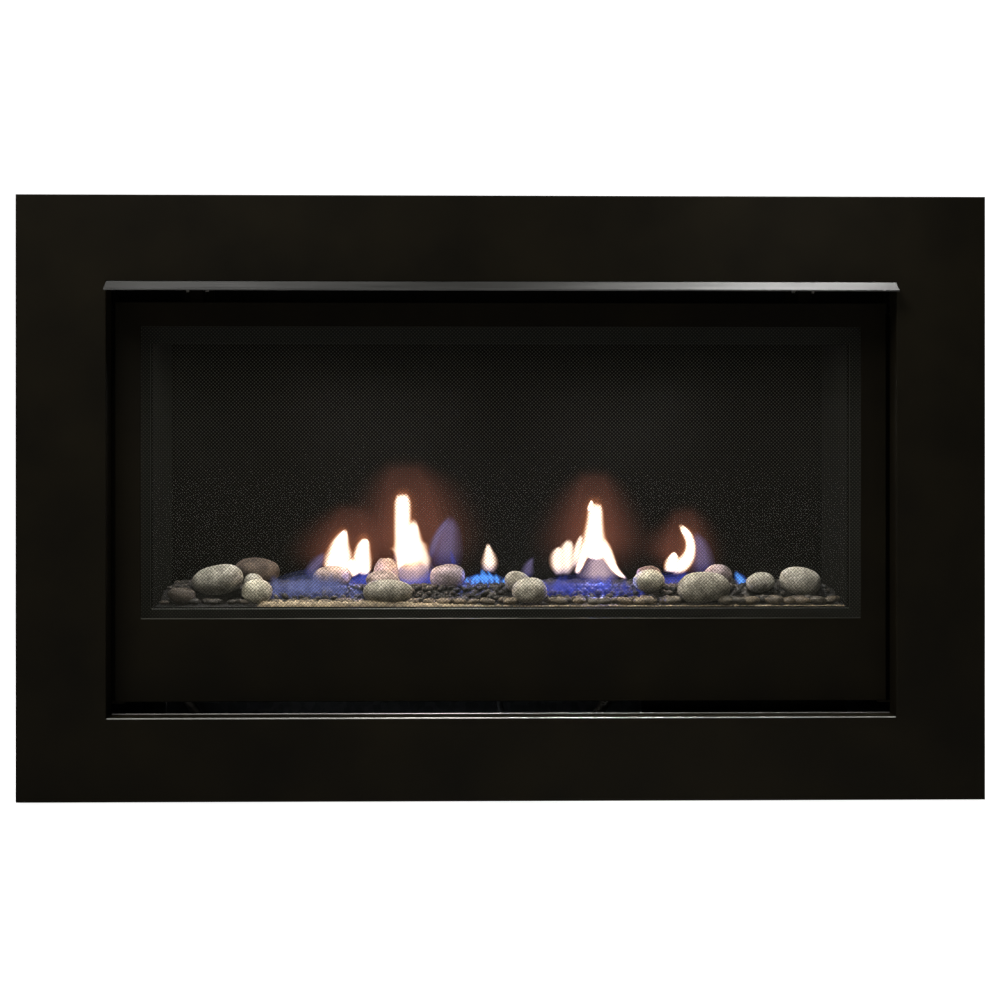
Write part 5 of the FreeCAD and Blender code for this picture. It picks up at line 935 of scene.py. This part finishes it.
    def build_pebbles(self) -> None:
        """Lays two rows of tan pebbles on the front strip, larger to the right.

        They are painted darker at the left end, as painted shade, and darker to the right; the first row is
        painted lighter and the second row darker, as painted light and shade.
        """
        first_row, second_row, rear_gap = 12.0 * MM, 20.0 * MM, 4.0 * MM
        growing, grown, sizes = -100.0 * MM, 200.0 * MM, (7.5 * MM, 8.5 * MM, 11.0 * MM)
        shaded, dusky, bright, behind = 0.2, 0.6, 1.15, 0.65
        rng = np.random.default_rng(self.seed + PEBBLES.seed)
        x, y = spots = self.strewn(rng, PEBBLES, self.front + first_row, self.ramp_foot - rear_gap)
        # Painted shade: the pebbles at the left end and in the second row are darkened, and the first row is
        # lightened as painted light; those to the right are darker.
        shade = np.where(x < self.shade_end, shaded, np.where(x > self.dusk_start, dusky, 1.0))
        shade = shade * np.where(y > self.front + second_row, behind, bright)
        unit = np.interp(x, [-self.half_length, growing, grown], sizes)
        self.scatter(rng, PEBBLES, spots, unit, shade)

    def build_gravel(self) -> None:
        """Strews small dark gravel over the ramp and the top of the bed."""
        rear_gap = 8.0 * MM
        rng = np.random.default_rng(self.seed + GRAVEL.seed)
        spots = self.strewn(rng, GRAVEL, self.ramp_foot, self.rear - rear_gap)
        self.scatter(rng, GRAVEL, spots, np.full_like(spots[0], MM), np.ones_like(spots[0]))

    def build_stones(self) -> None:
        """Lays the river stones.

        A stone is a lumpy ball, a little squared and stretched to its size, rolled and turned.
        On the ramp it stands as much higher as a ball of its size touches the slope.
        """
        rng = np.random.default_rng(self.seed + 1)
        rings, around, sink, squared, lump, tilt = 30, 44, 1.0 * MM, 0.92, 0.07, 0.06
        ball = ball_points(rings, around)
        x, y, half = self.stone_places()
        count = len(x)
        shape = np.sign(ball) * np.abs(ball) ** squared
        points = shape[None] * self.lumps(rng, count, ball, lump)[..., None] * half[:, None, :] * self.swell
        turn = np.radians([s.turn for s in RIVER_STONES])
        roll = np.radians([s.roll for s in RIVER_STONES])
        points = self.turned(points, turn, rng.normal(0.0, tilt, count), roll)
        slope = (self.rear_top - self.front_top) / (self.ramp_top - self.ramp_foot)
        slope = np.where((y > self.ramp_foot) & (y < self.ramp_top), slope, 0.0)
        reach = np.hypot(half[:, 0] * np.sin(turn), half[:, 1] * np.cos(turn))
        z = self.height(y) + np.hypot(half[:, 2], reach * slope) - sink
        points = (points + np.stack([x, y, z], axis=-1)[:, None, :]).reshape(-1, 3)
        tones = np.array([linear(s.tone) for s in RIVER_STONES])
        stones = new_piece("bed_stones", points, skin_faces(rings, around, count), FIXED_BODY, True)
        store(stones, "tone_and_painted_shade", np.repeat(tones, len(ball), axis=0))
        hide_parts("river_stones")
        self.wardrobe.dress(stones, "river_rock")

    def build(self) -> None:
        """Fills the tray from the bottom up."""
        self.build_grit()
        self.build_pebbles()
        self.build_gravel()
        self.build_stones()


@dataclass(frozen=True)
class Glow:
    """The light of a tongue of flame: linear colours of its foot, edge and heart, and how thick it is.

    The cover is that of the innermost skin, and the rim its share on the outermost. The foot and the tip
    take shares of the tongue's length, and the flatness is its depth over its width.
    """

    foot: Tone
    edge: Tone
    heart: Tone
    cover: float
    rim_share: float
    skins: int
    foot_share: float
    tip_share: float
    flatness: float


class Heat(Enum):
    """How hot and sooty a tongue burns. The last two are not flame but painted glow: wide faint orange and
    red veils round the flames that stand in for firelight.
    """

    GOLD = Glow((0.6, 0.45, 1.1), (1.5, 0.55, 0.2), (6.5, 5.6, 4.5), 0.5, 0.16, 7, 0.16, 0.07, 0.7)
    PEACH = Glow((0.5, 0.36, 0.8), (1.1, 0.55, 0.36), (3.6, 2.9, 2.3), 0.36, 0.15, 6, 0.3, 0.12, 0.7)
    LILAC = Glow((0.3, 0.28, 1.1), (0.5, 0.38, 0.85), (1.6, 1.15, 1.1), 0.12, 0.4, 6, 0.4, 0.15, 0.7)
    VIOLET = Glow((0.08, 0.1, 0.6), (0.24, 0.19, 0.38), (0.34, 0.28, 0.58), 0.1, 0.4, 5, 0.3, 0.3, 0.6)
    HAZE = Glow((0.1, 0.13, 0.4), (0.13, 0.16, 0.42), (0.26, 0.3, 0.68), 0.12, 0.4, 3, 0.3, 0.4, 0.6)
    BLUE = Glow((0.02, 0.035, 0.4), (0.05, 0.07, 0.5), (0.12, 0.17, 1.1), 0.1, 0.4, 3, 0.35, 0.5, 0.6)
    CYAN = Glow((0.02, 0.08, 0.8), (0.04, 0.2, 1.2), (0.3, 1.0, 2.6), 0.2, 0.3, 4, 0.3, 0.5, 0.6)
    # Painted glow: faint orange and red veils that stand in for the firelight round the flames.
    PAINTED_GLOW = Glow((0.5, 0.15, 0.06), (0.8, 0.25, 0.08), (1.5, 0.52, 0.2), 0.036, 0.16, 6, 0.25, 0.3, 0.4)
    HALO = Glow((0.2, 0.05, 0.03), (0.2, 0.06, 0.036), (0.8, 0.25, 0.15), 0.028, 0.1, 10, 0.3, 0.6, 0.3)


@dataclass(frozen=True)
class Tongue:
    """One tongue of flame: knots of x, z and half width from foot to tip, and its depth, in mm."""

    heat: Heat
    knots: tuple[Knot, ...]
    back: float = 60.0


@dataclass
class Flames:
    """The gas flames over the burner, as skins inside skins of glowing gas.

    The outer and inner sizes are factors on the half width. The innermost skin starts and stops short of
    the ends by shares of the length, and the bends say how fast the heart's colour and cover set in.
    """

    wardrobe: Wardrobe
    rings: int = 24
    around: int = 12
    outer: float = 1.2
    inner: float = 0.4
    thinnest: float = 0.2
    late_start: float = 0.08
    early_stop: float = 0.16
    glance: float = 0.01
    light_bend: float = 0.8
    cover_bend: float = 1.2
    foot_cover: float = 0.05

    def skins(self, tongue: Tongue) -> tuple[np.ndarray, np.ndarray, np.ndarray]:
        """Lofts one tongue as nested skins.

        A ring stands square to the tongue's line, with the half width to the sides and a share of
        it in depth. Outer skins are wider than the tongue and inner ones narrower, start higher and
        stop lower. The light goes from the edge's colour outside to the heart's inside, and from
        the foot's colour at the bottom.

        Args:
            tongue: the tongue of flame.

        Returns:
            Points, light and cover of all skins.
        """
        glow = tongue.heat.value
        share = np.linspace(0.0, 1.0, glow.skins)
        size = self.outer + (self.inner - self.outer) * share
        begin = self.late_start * share
        finish = 1.0 - self.early_stop * share
        knots = np.array(tongue.knots, dtype=float)
        step = (np.arange(self.rings) + 0.5) / self.rings
        place = (begin[:, None] + (finish - begin)[:, None] * step[None, :]).ravel()
        read = smooth_line(knots, place)
        ahead = smooth_line(knots, np.minimum(place + self.glance, 1.0))
        ahead = (ahead - smooth_line(knots, np.maximum(place - self.glance, 0.0)))[:, :2]
        along = ahead / np.linalg.norm(ahead, axis=1, keepdims=True)
        width = np.maximum(read[:, 2], self.thinnest).reshape(glow.skins, self.rings) * size[:, None]
        angle = FULL_TURN * np.arange(self.around) / self.around
        across = (width.ravel()[:, None] * np.cos(angle)).reshape(-1, self.around, 1)
        deep = width.ravel()[:, None] * np.sin(angle) * glow.flatness
        flat = read[:, None, :2] + across * np.stack([along[:, 1], -along[:, 0]], axis=-1)[:, None, :]
        rings = np.stack([flat[..., 0], deep + tongue.back, flat[..., 1]], axis=-1)
        rings = rings.reshape(glow.skins, self.rings * self.around, 3)
        ends = np.stack([smooth_line(knots, begin), smooth_line(knots, finish)], axis=1)
        poles = np.stack([ends[..., 0], np.full(ends.shape[:2], tongue.back), ends[..., 1]], axis=-1)
        points = np.concatenate([rings, poles], axis=1) * MM
        height = np.repeat(place.reshape(glow.skins, self.rings), self.around, axis=1)
        height = np.concatenate([height, begin[:, None], finish[:, None]], axis=1)
        skin = share[:, None, None] ** self.light_bend
        body = np.array(glow.edge) * (1 - skin) + np.array(glow.heart) * skin
        rise = np.clip(height / glow.foot_share, 0.0, 1.0)
        light = body + (np.array(glow.foot) - body) * (1.0 - rise)[..., None]
        fade = np.clip((1.0 - height) / glow.tip_share, 0.0, 1.0)
        rise = self.foot_cover + (1.0 - self.foot_cover) * rise
        inwards = glow.rim_share + (1.0 - glow.rim_share) * share[:, None] ** self.cover_bend
        cover = glow.cover * inwards * fade * rise
        alpha = np.ones_like(height)[..., None]
        return points.reshape(-1, 3), np.concatenate([light, alpha], axis=-1).reshape(-1, 4), cover.ravel()

    def build_flame(self, name: str, tongues: tuple[Tongue, ...]) -> None:
        """Joins the tongues of one flame into a piece that only the camera sees, with no shadow.

        Args:
            name: name of the flame.
            tongues: its tongues.
        """
        parts = [self.skins(tongue) for tongue in tongues]
        points, light, cover = (np.concatenate(column) for column in zip(*parts))
        skins = sum(tongue.heat.value.skins for tongue in tongues)
        flame = new_piece(name, points, skin_faces(self.rings, self.around, skins), FIXED_BODY, True)
        store(flame, "flame_light", light)
        store(flame, "flame_cover", cover)
        self.wardrobe.dress(flame, FIRE.slot)
        flame.visible_diffuse = False
        flame.visible_glossy = False
        flame.visible_shadow = False

    def build(self) -> None:
        """Lights the flames from left to right, and then the wisps."""
        for name, tongues in FLAMES.items():
            self.build_flame(name, tongues)
        for row in WISP_ROWS:
            self.build_flame(row.name, row.tongues())


FLAMES: dict[str, tuple[Tongue, ...]] = {
    "flame_pair": (
        Tongue(Heat.GOLD, (
            (-222, 266, 6), (-219, 275, 15), (-214, 288, 17.4), (-212, 305, 12.5), (-208, 318, 7),
            (-204, 328, 0.6),
        )),
        Tongue(Heat.GOLD, (
            (-178, 264, 3), (-180, 273, 9), (-183, 285, 12), (-182, 299, 9.8), (-180, 309, 7),
            (-180, 316, 2),
        )),
        Tongue(Heat.GOLD, ((-188, 266, 7), (-195, 276, 9), (-201, 287, 5))),
        Tongue(Heat.VIOLET, ((-259, 264, 5), (-248, 275, 8), (-238, 287, 7), (-232, 298, 1))),
        Tongue(Heat.PAINTED_GLOW, ((-217, 272, 22), (-214, 296, 20), (-210, 318, 14), (-205, 336, 3)), 70),
        Tongue(Heat.PAINTED_GLOW, ((-181, 272, 17), (-182, 296, 16), (-181, 314, 12), (-180, 325, 3)), 70),
        Tongue(Heat.HALO, ((-206, 262, 64), (-204, 294, 74), (-200, 334, 54), (-196, 372, 8)), 78),
    ),
    "flame_tall_left": (
        Tongue(Heat.GOLD, (
            (-127, 280, 12), (-128.6, 304, 11), (-129, 324, 10.8), (-129, 345, 10.7), (-129, 364, 10),
            (-130, 376, 5),
        )),
        Tongue(Heat.GOLD, (
            (-135, 268, 3), (-129, 278, 10), (-122, 289, 21), (-119, 300, 22), (-119, 312, 17),
            (-116, 326, 10), (-113, 343, 0.8),
        )),
        Tongue(Heat.PEACH, ((-106, 266, 4), (-103, 277, 9), (-102, 288, 10), (-107, 302, 7))),
        Tongue(Heat.LILAC, ((-116, 251, 4), (-116, 258, 17), (-116, 268, 25), (-118, 282, 22)), 52),
        Tongue(Heat.BLUE, (
            (-143, 276, 1.5), (-136, 264, 3), (-118, 256, 4), (-101, 263, 3), (-94, 278, 1.5),
        ), 46),
        Tongue(Heat.PAINTED_GLOW, (
            (-123, 276, 29), (-125, 310, 24), (-128, 345, 19), (-129, 372, 16), (-130, 387, 3),
        ), 70),
        Tongue(Heat.HALO, (
            (-120, 262, 74), (-118, 304, 96), (-120, 352, 86), (-126, 396, 58), (-128, 432, 10),
        ), 78),
    ),
    "flame_violet": (
        Tongue(Heat.VIOLET, ((-75, 272, 18), (-72, 295, 20), (-69, 316, 17), (-66, 333, 11), (-64, 348, 1))),
        Tongue(Heat.VIOLET, ((-93, 288, 4), (-89, 300, 5), (-82, 318, 5), (-73, 333, 4), (-65, 345, 1)), 48),
        Tongue(Heat.BLUE, ((-60, 276, 5), (-62, 288, 4), (-66, 304, 1)), 46),
    ),
    "flame_small": (
        Tongue(Heat.PEACH, ((-15, 268, 7.5), (-13, 283, 10), (-14, 297, 6), (-15.4, 309, 0.6))),
        Tongue(Heat.VIOLET, ((36, 262, 6), (38, 271, 8), (41, 281, 5), (47, 291, 1))),
    ),
    "flame_tall_right": (
        Tongue(Heat.GOLD, (
            (124, 284, 5), (126, 292, 16), (127, 302, 18), (127, 317, 14), (128, 336, 11),
            (128.7, 352, 9.4), (130, 364, 5.5),
        )),
        Tongue(Heat.GOLD, ((122, 350, 4.5), (123, 358, 4), (124, 366, 0.8))),
        Tongue(Heat.GOLD, ((172, 259, 1.2), (156, 272, 4.6), (148, 286, 7), (141, 300, 8.5), (134, 314, 6))),
        Tongue(Heat.GOLD, ((103, 266, 3), (109, 281, 5), (114, 296, 7), (120, 310, 6))),
        Tongue(Heat.LILAC, ((134, 254, 14), (134, 264, 25), (133, 276, 21), (131, 292, 12))),
        Tongue(Heat.PEACH, ((80, 264, 4), (79, 276, 9), (78, 288, 10), (80, 298, 7), (82, 304, 1.5)), 56),
        Tongue(Heat.PEACH, ((88, 264, 5), (89, 278, 12), (90, 291, 12), (92, 303, 9), (95, 315, 1.5))),
        Tongue(Heat.PEACH, ((100, 274, 6), (103, 291, 6), (107, 307, 5), (111, 321, 1))),
        Tongue(Heat.PAINTED_GLOW, (
            (127, 276, 31), (127, 310, 24), (127, 340, 18), (128, 362, 15), (128, 377, 3),
        ), 70),
        Tongue(Heat.HALO, (
            (127, 262, 64), (127, 302, 78), (127, 346, 66), (128, 386, 44), (128, 418, 8),
        ), 78),
    ),
    "flame_hook": (
        Tongue(Heat.GOLD, (
            (228, 271, 6), (243, 278, 9.5), (253, 289, 8.4), (256.5, 302, 6.8), (254.6, 314, 5.9),
            (248.9, 324, 5), (240, 334, 1),
        )),
        Tongue(Heat.GOLD, ((231, 268, 9), (232, 279, 10), (233.5, 289, 7), (234.5, 297, 1.2))),
        Tongue(Heat.VIOLET, ((274, 264, 14), (272, 285, 14), (268, 307, 10), (261, 326, 1))),
        Tongue(Heat.CYAN, ((326, 250, 7), (322, 258, 6.5), (317, 265, 5), (313, 273, 1)), 40),
        Tongue(Heat.PAINTED_GLOW, (
            (234, 272, 14), (252, 290, 15), (256, 306, 13), (252, 320, 12), (242, 341, 3),
        ), 70),
        Tongue(Heat.HALO, ((240, 264, 42), (246, 294, 54), (250, 330, 42), (246, 368, 8)), 78),
    ),
}


@dataclass(frozen=True)
class WispRow:
    """A row of low wisps where the gas leaves the bed, with the glow they stand in; lengths in mm."""

    name: str
    heat: Heat
    left: float
    right: float
    foot: float
    height: float
    half_width: float
    count: int
    back: float
    seed: int
    glow_share: float = 0.36

    def tongues(self) -> tuple[Tongue, ...]:
        """Draws the wisps and the glow.

        A wisp is taller in the middle of the row and has its own lean, with a foot of most of its width,
        a knee half way up and a fine tip. The glow lies along the row as a low arch.

        Returns:
            The wisps from left to right, and the glow.
        """
        stray, lean, lows, widths, arch = 0.3, 0.3, (0.55, 1.0), (0.7, 1.2), 0.4
        foot_share, knee, knee_lean, tip = 0.8, 0.5, 0.3, 0.5
        glow_level, glow_bend, glow_end = 0.35, 0.08, 0.1
        rng = np.random.default_rng(self.seed)
        share = (np.arange(self.count) + 0.5) / self.count
        x = self.left + (self.right - self.left) * share
        x = x + rng.normal(0.0, stray * self.half_width, self.count)
        rise = self.height * rng.uniform(*lows, self.count) * np.sin(math.pi * share) ** arch
        aside = rise * rng.normal(0.0, lean, self.count)
        half = self.half_width * rng.uniform(*widths, self.count)
        wisps = []
        for middle, up, over, wide in zip(x, rise, aside, half):
            low = (middle, self.foot, foot_share * wide)
            bent = (middle + knee_lean * over, self.foot + knee * up, wide)
            wisps.append(Tongue(self.heat, (low, bent, (middle + over, self.foot + up, tip)), self.back))
        level, end = self.foot + glow_level * self.height, glow_end * self.height
        crown = ((self.left + self.right) / 2, level + glow_bend * self.height, self.glow_share * self.height)
        glow = Tongue(self.heat, ((self.left, level, end), crown, (self.right, level, end)), self.back)
        return (*wisps, glow)


WISP_ROWS: tuple[WispRow, ...] = (
    WispRow("wisps_left", Heat.HAZE, -312.0, -178.0, 236.0, 48.0, 10.0, 13, -16.0, 311),
    WispRow("wisps_by_pair", Heat.BLUE, -204.0, -154.0, 248.0, 30.0, 8.0, 6, 40.0, 312),
    WispRow("wisps_middle", Heat.BLUE, -142.0, -36.0, 246.0, 32.0, 7.5, 14, 48.0, 313, 0.3),
    WispRow("wisps_small", Heat.CYAN, -46.0, 8.0, 250.0, 30.0, 3.8, 8, 50.0, 314, 0.16),
    WispRow("wisps_right", Heat.BLUE, 22.0, 190.0, 237.0, 40.0, 7.5, 20, -14.0, 315, 0.34),
    WispRow("wisps_by_hook", Heat.BLUE, 196.0, 284.0, 248.0, 28.0, 8.0, 9, 45.0, 316),
)


SOFT_WHITE: Tone = (1.0, 0.98, 0.95)
HOOD_WHITE: Tone = (1.0, 0.99, 0.98)
BED_WHITE: Tone = (1.0, 0.97, 0.95)
FIRE_GOLD: Tone = (1.0, 0.7, 0.48)
FIRE_BLUE: Tone = (0.12, 0.2, 1.0)


@dataclass(frozen=True)
class Lamp:
    """A lamp with the linear colour of its light: an area lamp if it has a target, else a point lamp.

    The size is the side of an area lamp or the radius of a point lamp, and the spread is the opening of
    an area lamp's beam in degrees.
    """

    name: str
    place: Place
    watts: float
    tone: Tone
    size: float = 0.012
    target: Place | None = None
    spread: float = 180.0

    def hang(self) -> None:
        """Hangs the lamp, out of the camera's sight, and aims it."""
        data = bpy.data.lights.new(self.name, "AREA" if self.target else "POINT")
        data.energy = self.watts
        data.color = self.tone
        lamp = bpy.data.objects.new(self.name, data)
        lamp.location = self.place
        lamp.visible_camera = False
        if self.target:
            data.size = self.size
            data.spread = math.radians(self.spread)
            lamp.rotation_euler = (Vector(self.target) - lamp.location).to_track_quat("-Z", "Y").to_euler()
        else:
            data.shadow_soft_size = self.size
        bpy.context.scene.collection.objects.link(lamp)


LAMPS: tuple[Lamp, ...] = (
    Lamp("softbox_above", (-0.7, -1.15, 2.1), 115.0, SOFT_WHITE, 1.0, (0.0, -0.15, 0.35)),
    Lamp("softbox_right", (0.5, -0.25, 1.5), 4.8, HOOD_WHITE, 0.15, (0.33, -0.19, 0.63), 40.0),
    Lamp("softbox_left", (-0.5, -0.25, 1.5), 0.5, HOOD_WHITE, 0.15, (-0.36, -0.19, 0.63), 40.0),
    Lamp("softbox_behind", (0.4, 1.7, 1.9), 60.0, SOFT_WHITE, 1.0, (0.0, 0.19, 0.4)),
    *(Lamp("bed_light", (x, -0.03, 0.585), 1.5, BED_WHITE, 0.06, (x, -0.03, 0.25)) for x in (-0.3, 0.0, 0.3)),
    Lamp("firelight", (-0.2, 0.03, 0.3), 0.22, FIRE_GOLD),
    Lamp("firelight", (-0.12, 0.03, 0.315), 0.36, FIRE_GOLD),
    Lamp("firelight", (0.128, 0.03, 0.31), 0.36, FIRE_GOLD),
    Lamp("firelight", (0.25, 0.03, 0.3), 0.22, FIRE_GOLD),
    Lamp("firelight", (-0.2, 0.02, 0.268), 0.5, FIRE_BLUE),
    Lamp("firelight", (-0.05, 0.02, 0.268), 0.5, FIRE_BLUE),
    Lamp("firelight", (0.13, 0.02, 0.268), 0.7, FIRE_BLUE),
)


@dataclass
class Studio:
    """White floor and backdrop, the dim air, the lamps and the camera."""

    face_y: float = -176.9 * MM
    distance: float = 2.4
    bearing: float = 1.16
    eye_height: float = 0.406
    lens: float = 71.03
    sensor: float = 36.0
    drop: float = -0.03
    aside: float = -0.0027
    reach: float = 120.0
    far: float = 40.0
    wall_y: float = 3.0
    sheet_grey: float = 0.25
    sheet_glow: float = 0.95
    air_grey: float = 0.5
    air_glow: float = 0.03
    clear_layers: int = 96

    def white(self, name: str, lights: bool) -> Paint:
        """Makes the lit white of a sheet.

        Args:
            name: name of the sheet.
            lights: whether its light is sampled as a lamp's is.

        Returns:
            The material.
        """
        bench = Bench(name)
        bench.fix(Base_Color=(*[self.sheet_grey] * 3, 1.0), Roughness=1.0, Specular_IOR_Level=0.0)
        bench.fix(Emission_Color=(*PLAIN, 1.0), Emission_Strength=self.sheet_glow)
        bench.material.cycles.emission_sampling = "AUTO" if lights else "NONE"
        return bench.material

    def sheet(self, name: str, corners: tuple[Place, ...], lights: bool) -> None:
        """Stretches one flat studio sheet.

        Args:
            name: name of the sheet.
            corners: its four corners in order, in metres.
            lights: whether the fireplace is lit by it and mirrors it.
        """
        mesh = bpy.data.meshes.new(name)
        mesh.from_pydata(corners, [], [(0, 1, 2, 3)])
        mesh.materials.append(self.white(name, lights))
        sheet = bpy.data.objects.new(name, mesh)
        bpy.context.scene.collection.objects.link(sheet)
        sheet.visible_diffuse = lights
        sheet.visible_glossy = lights

    def build_sheets(self) -> None:
        """Lays the floor and the wall, which light the fireplace, and far sheets that only close the view."""
        r, f, w = self.reach, self.far, self.wall_y
        self.sheet("studio_floor", ((-r, -r, 0.0), (r, -r, 0.0), (r, w, 0.0), (-r, w, 0.0)), True)
        self.sheet("studio_wall", ((-r, w, 0.0), (r, w, 0.0), (r, w, r), (-r, w, r)), True)
        self.sheet("studio_left", ((-f, -f, 0.0), (-f, w, 0.0), (-f, w, f), (-f, -f, f)), False)
        self.sheet("studio_right", ((f, w, 0.0), (f, -f, 0.0), (f, -f, f), (f, w, f)), False)
        self.sheet("studio_front", ((f, -f, 0.0), (-f, -f, 0.0), (-f, -f, f), (f, -f, f)), False)

    def build_light(self) -> None:
        """Fills the studio with dim air, and hangs the softboxes, the bed lights and the firelight."""
        world = bpy.data.worlds.new("studio_air")
        world.use_nodes = True
        air = world.node_tree.nodes["Background"]
        air.inputs["Color"].default_value = (*[self.air_grey] * 3, 1.0)
        air.inputs["Strength"].default_value = self.air_glow
        bpy.context.scene.world = world
        for lamp in LAMPS:
            lamp.hang()

    def build_camera(self) -> None:
        """Sets the camera level in front of the face, a little to the left, aimed at its middle."""
        data = bpy.data.cameras.new("camera")
        data.lens = self.lens
        data.sensor_width = self.sensor
        data.shift_x = self.aside
        data.shift_y = self.drop
        camera = bpy.data.objects.new("camera", data)
        turn = math.radians(self.bearing)
        x = -self.distance * math.sin(turn)
        y = self.face_y - self.distance * math.cos(turn)
        camera.location = (x, y, self.eye_height)
        camera.rotation_euler = (math.pi / 2, 0.0, -turn)
        bpy.context.scene.collection.objects.link(camera)
        bpy.context.scene.camera = camera

    def build(self) -> None:
        """Sets up the studio, with plain display colours and enough clear layers for the flames."""
        self.build_sheets()
        self.build_light()
        self.build_camera()
        bpy.context.scene.view_settings.view_transform = "Standard"
        bpy.context.scene.cycles.transparent_max_bounces = self.clear_layers


def main() -> None:
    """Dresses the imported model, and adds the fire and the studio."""
    logging.basicConfig(level=logging.INFO, format="%(message)s")
    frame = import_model()
    wardrobe = Wardrobe()
    wardrobe.dress_frame(frame)
    WireCloth(wardrobe).build()
    for edge in HIGHLIGHT_EDGES:
        edge.build(wardrobe)
    FireBed(wardrobe).build()
    Flames(wardrobe).build()
    Studio().build()


if __name__ == "__main__":
    main()
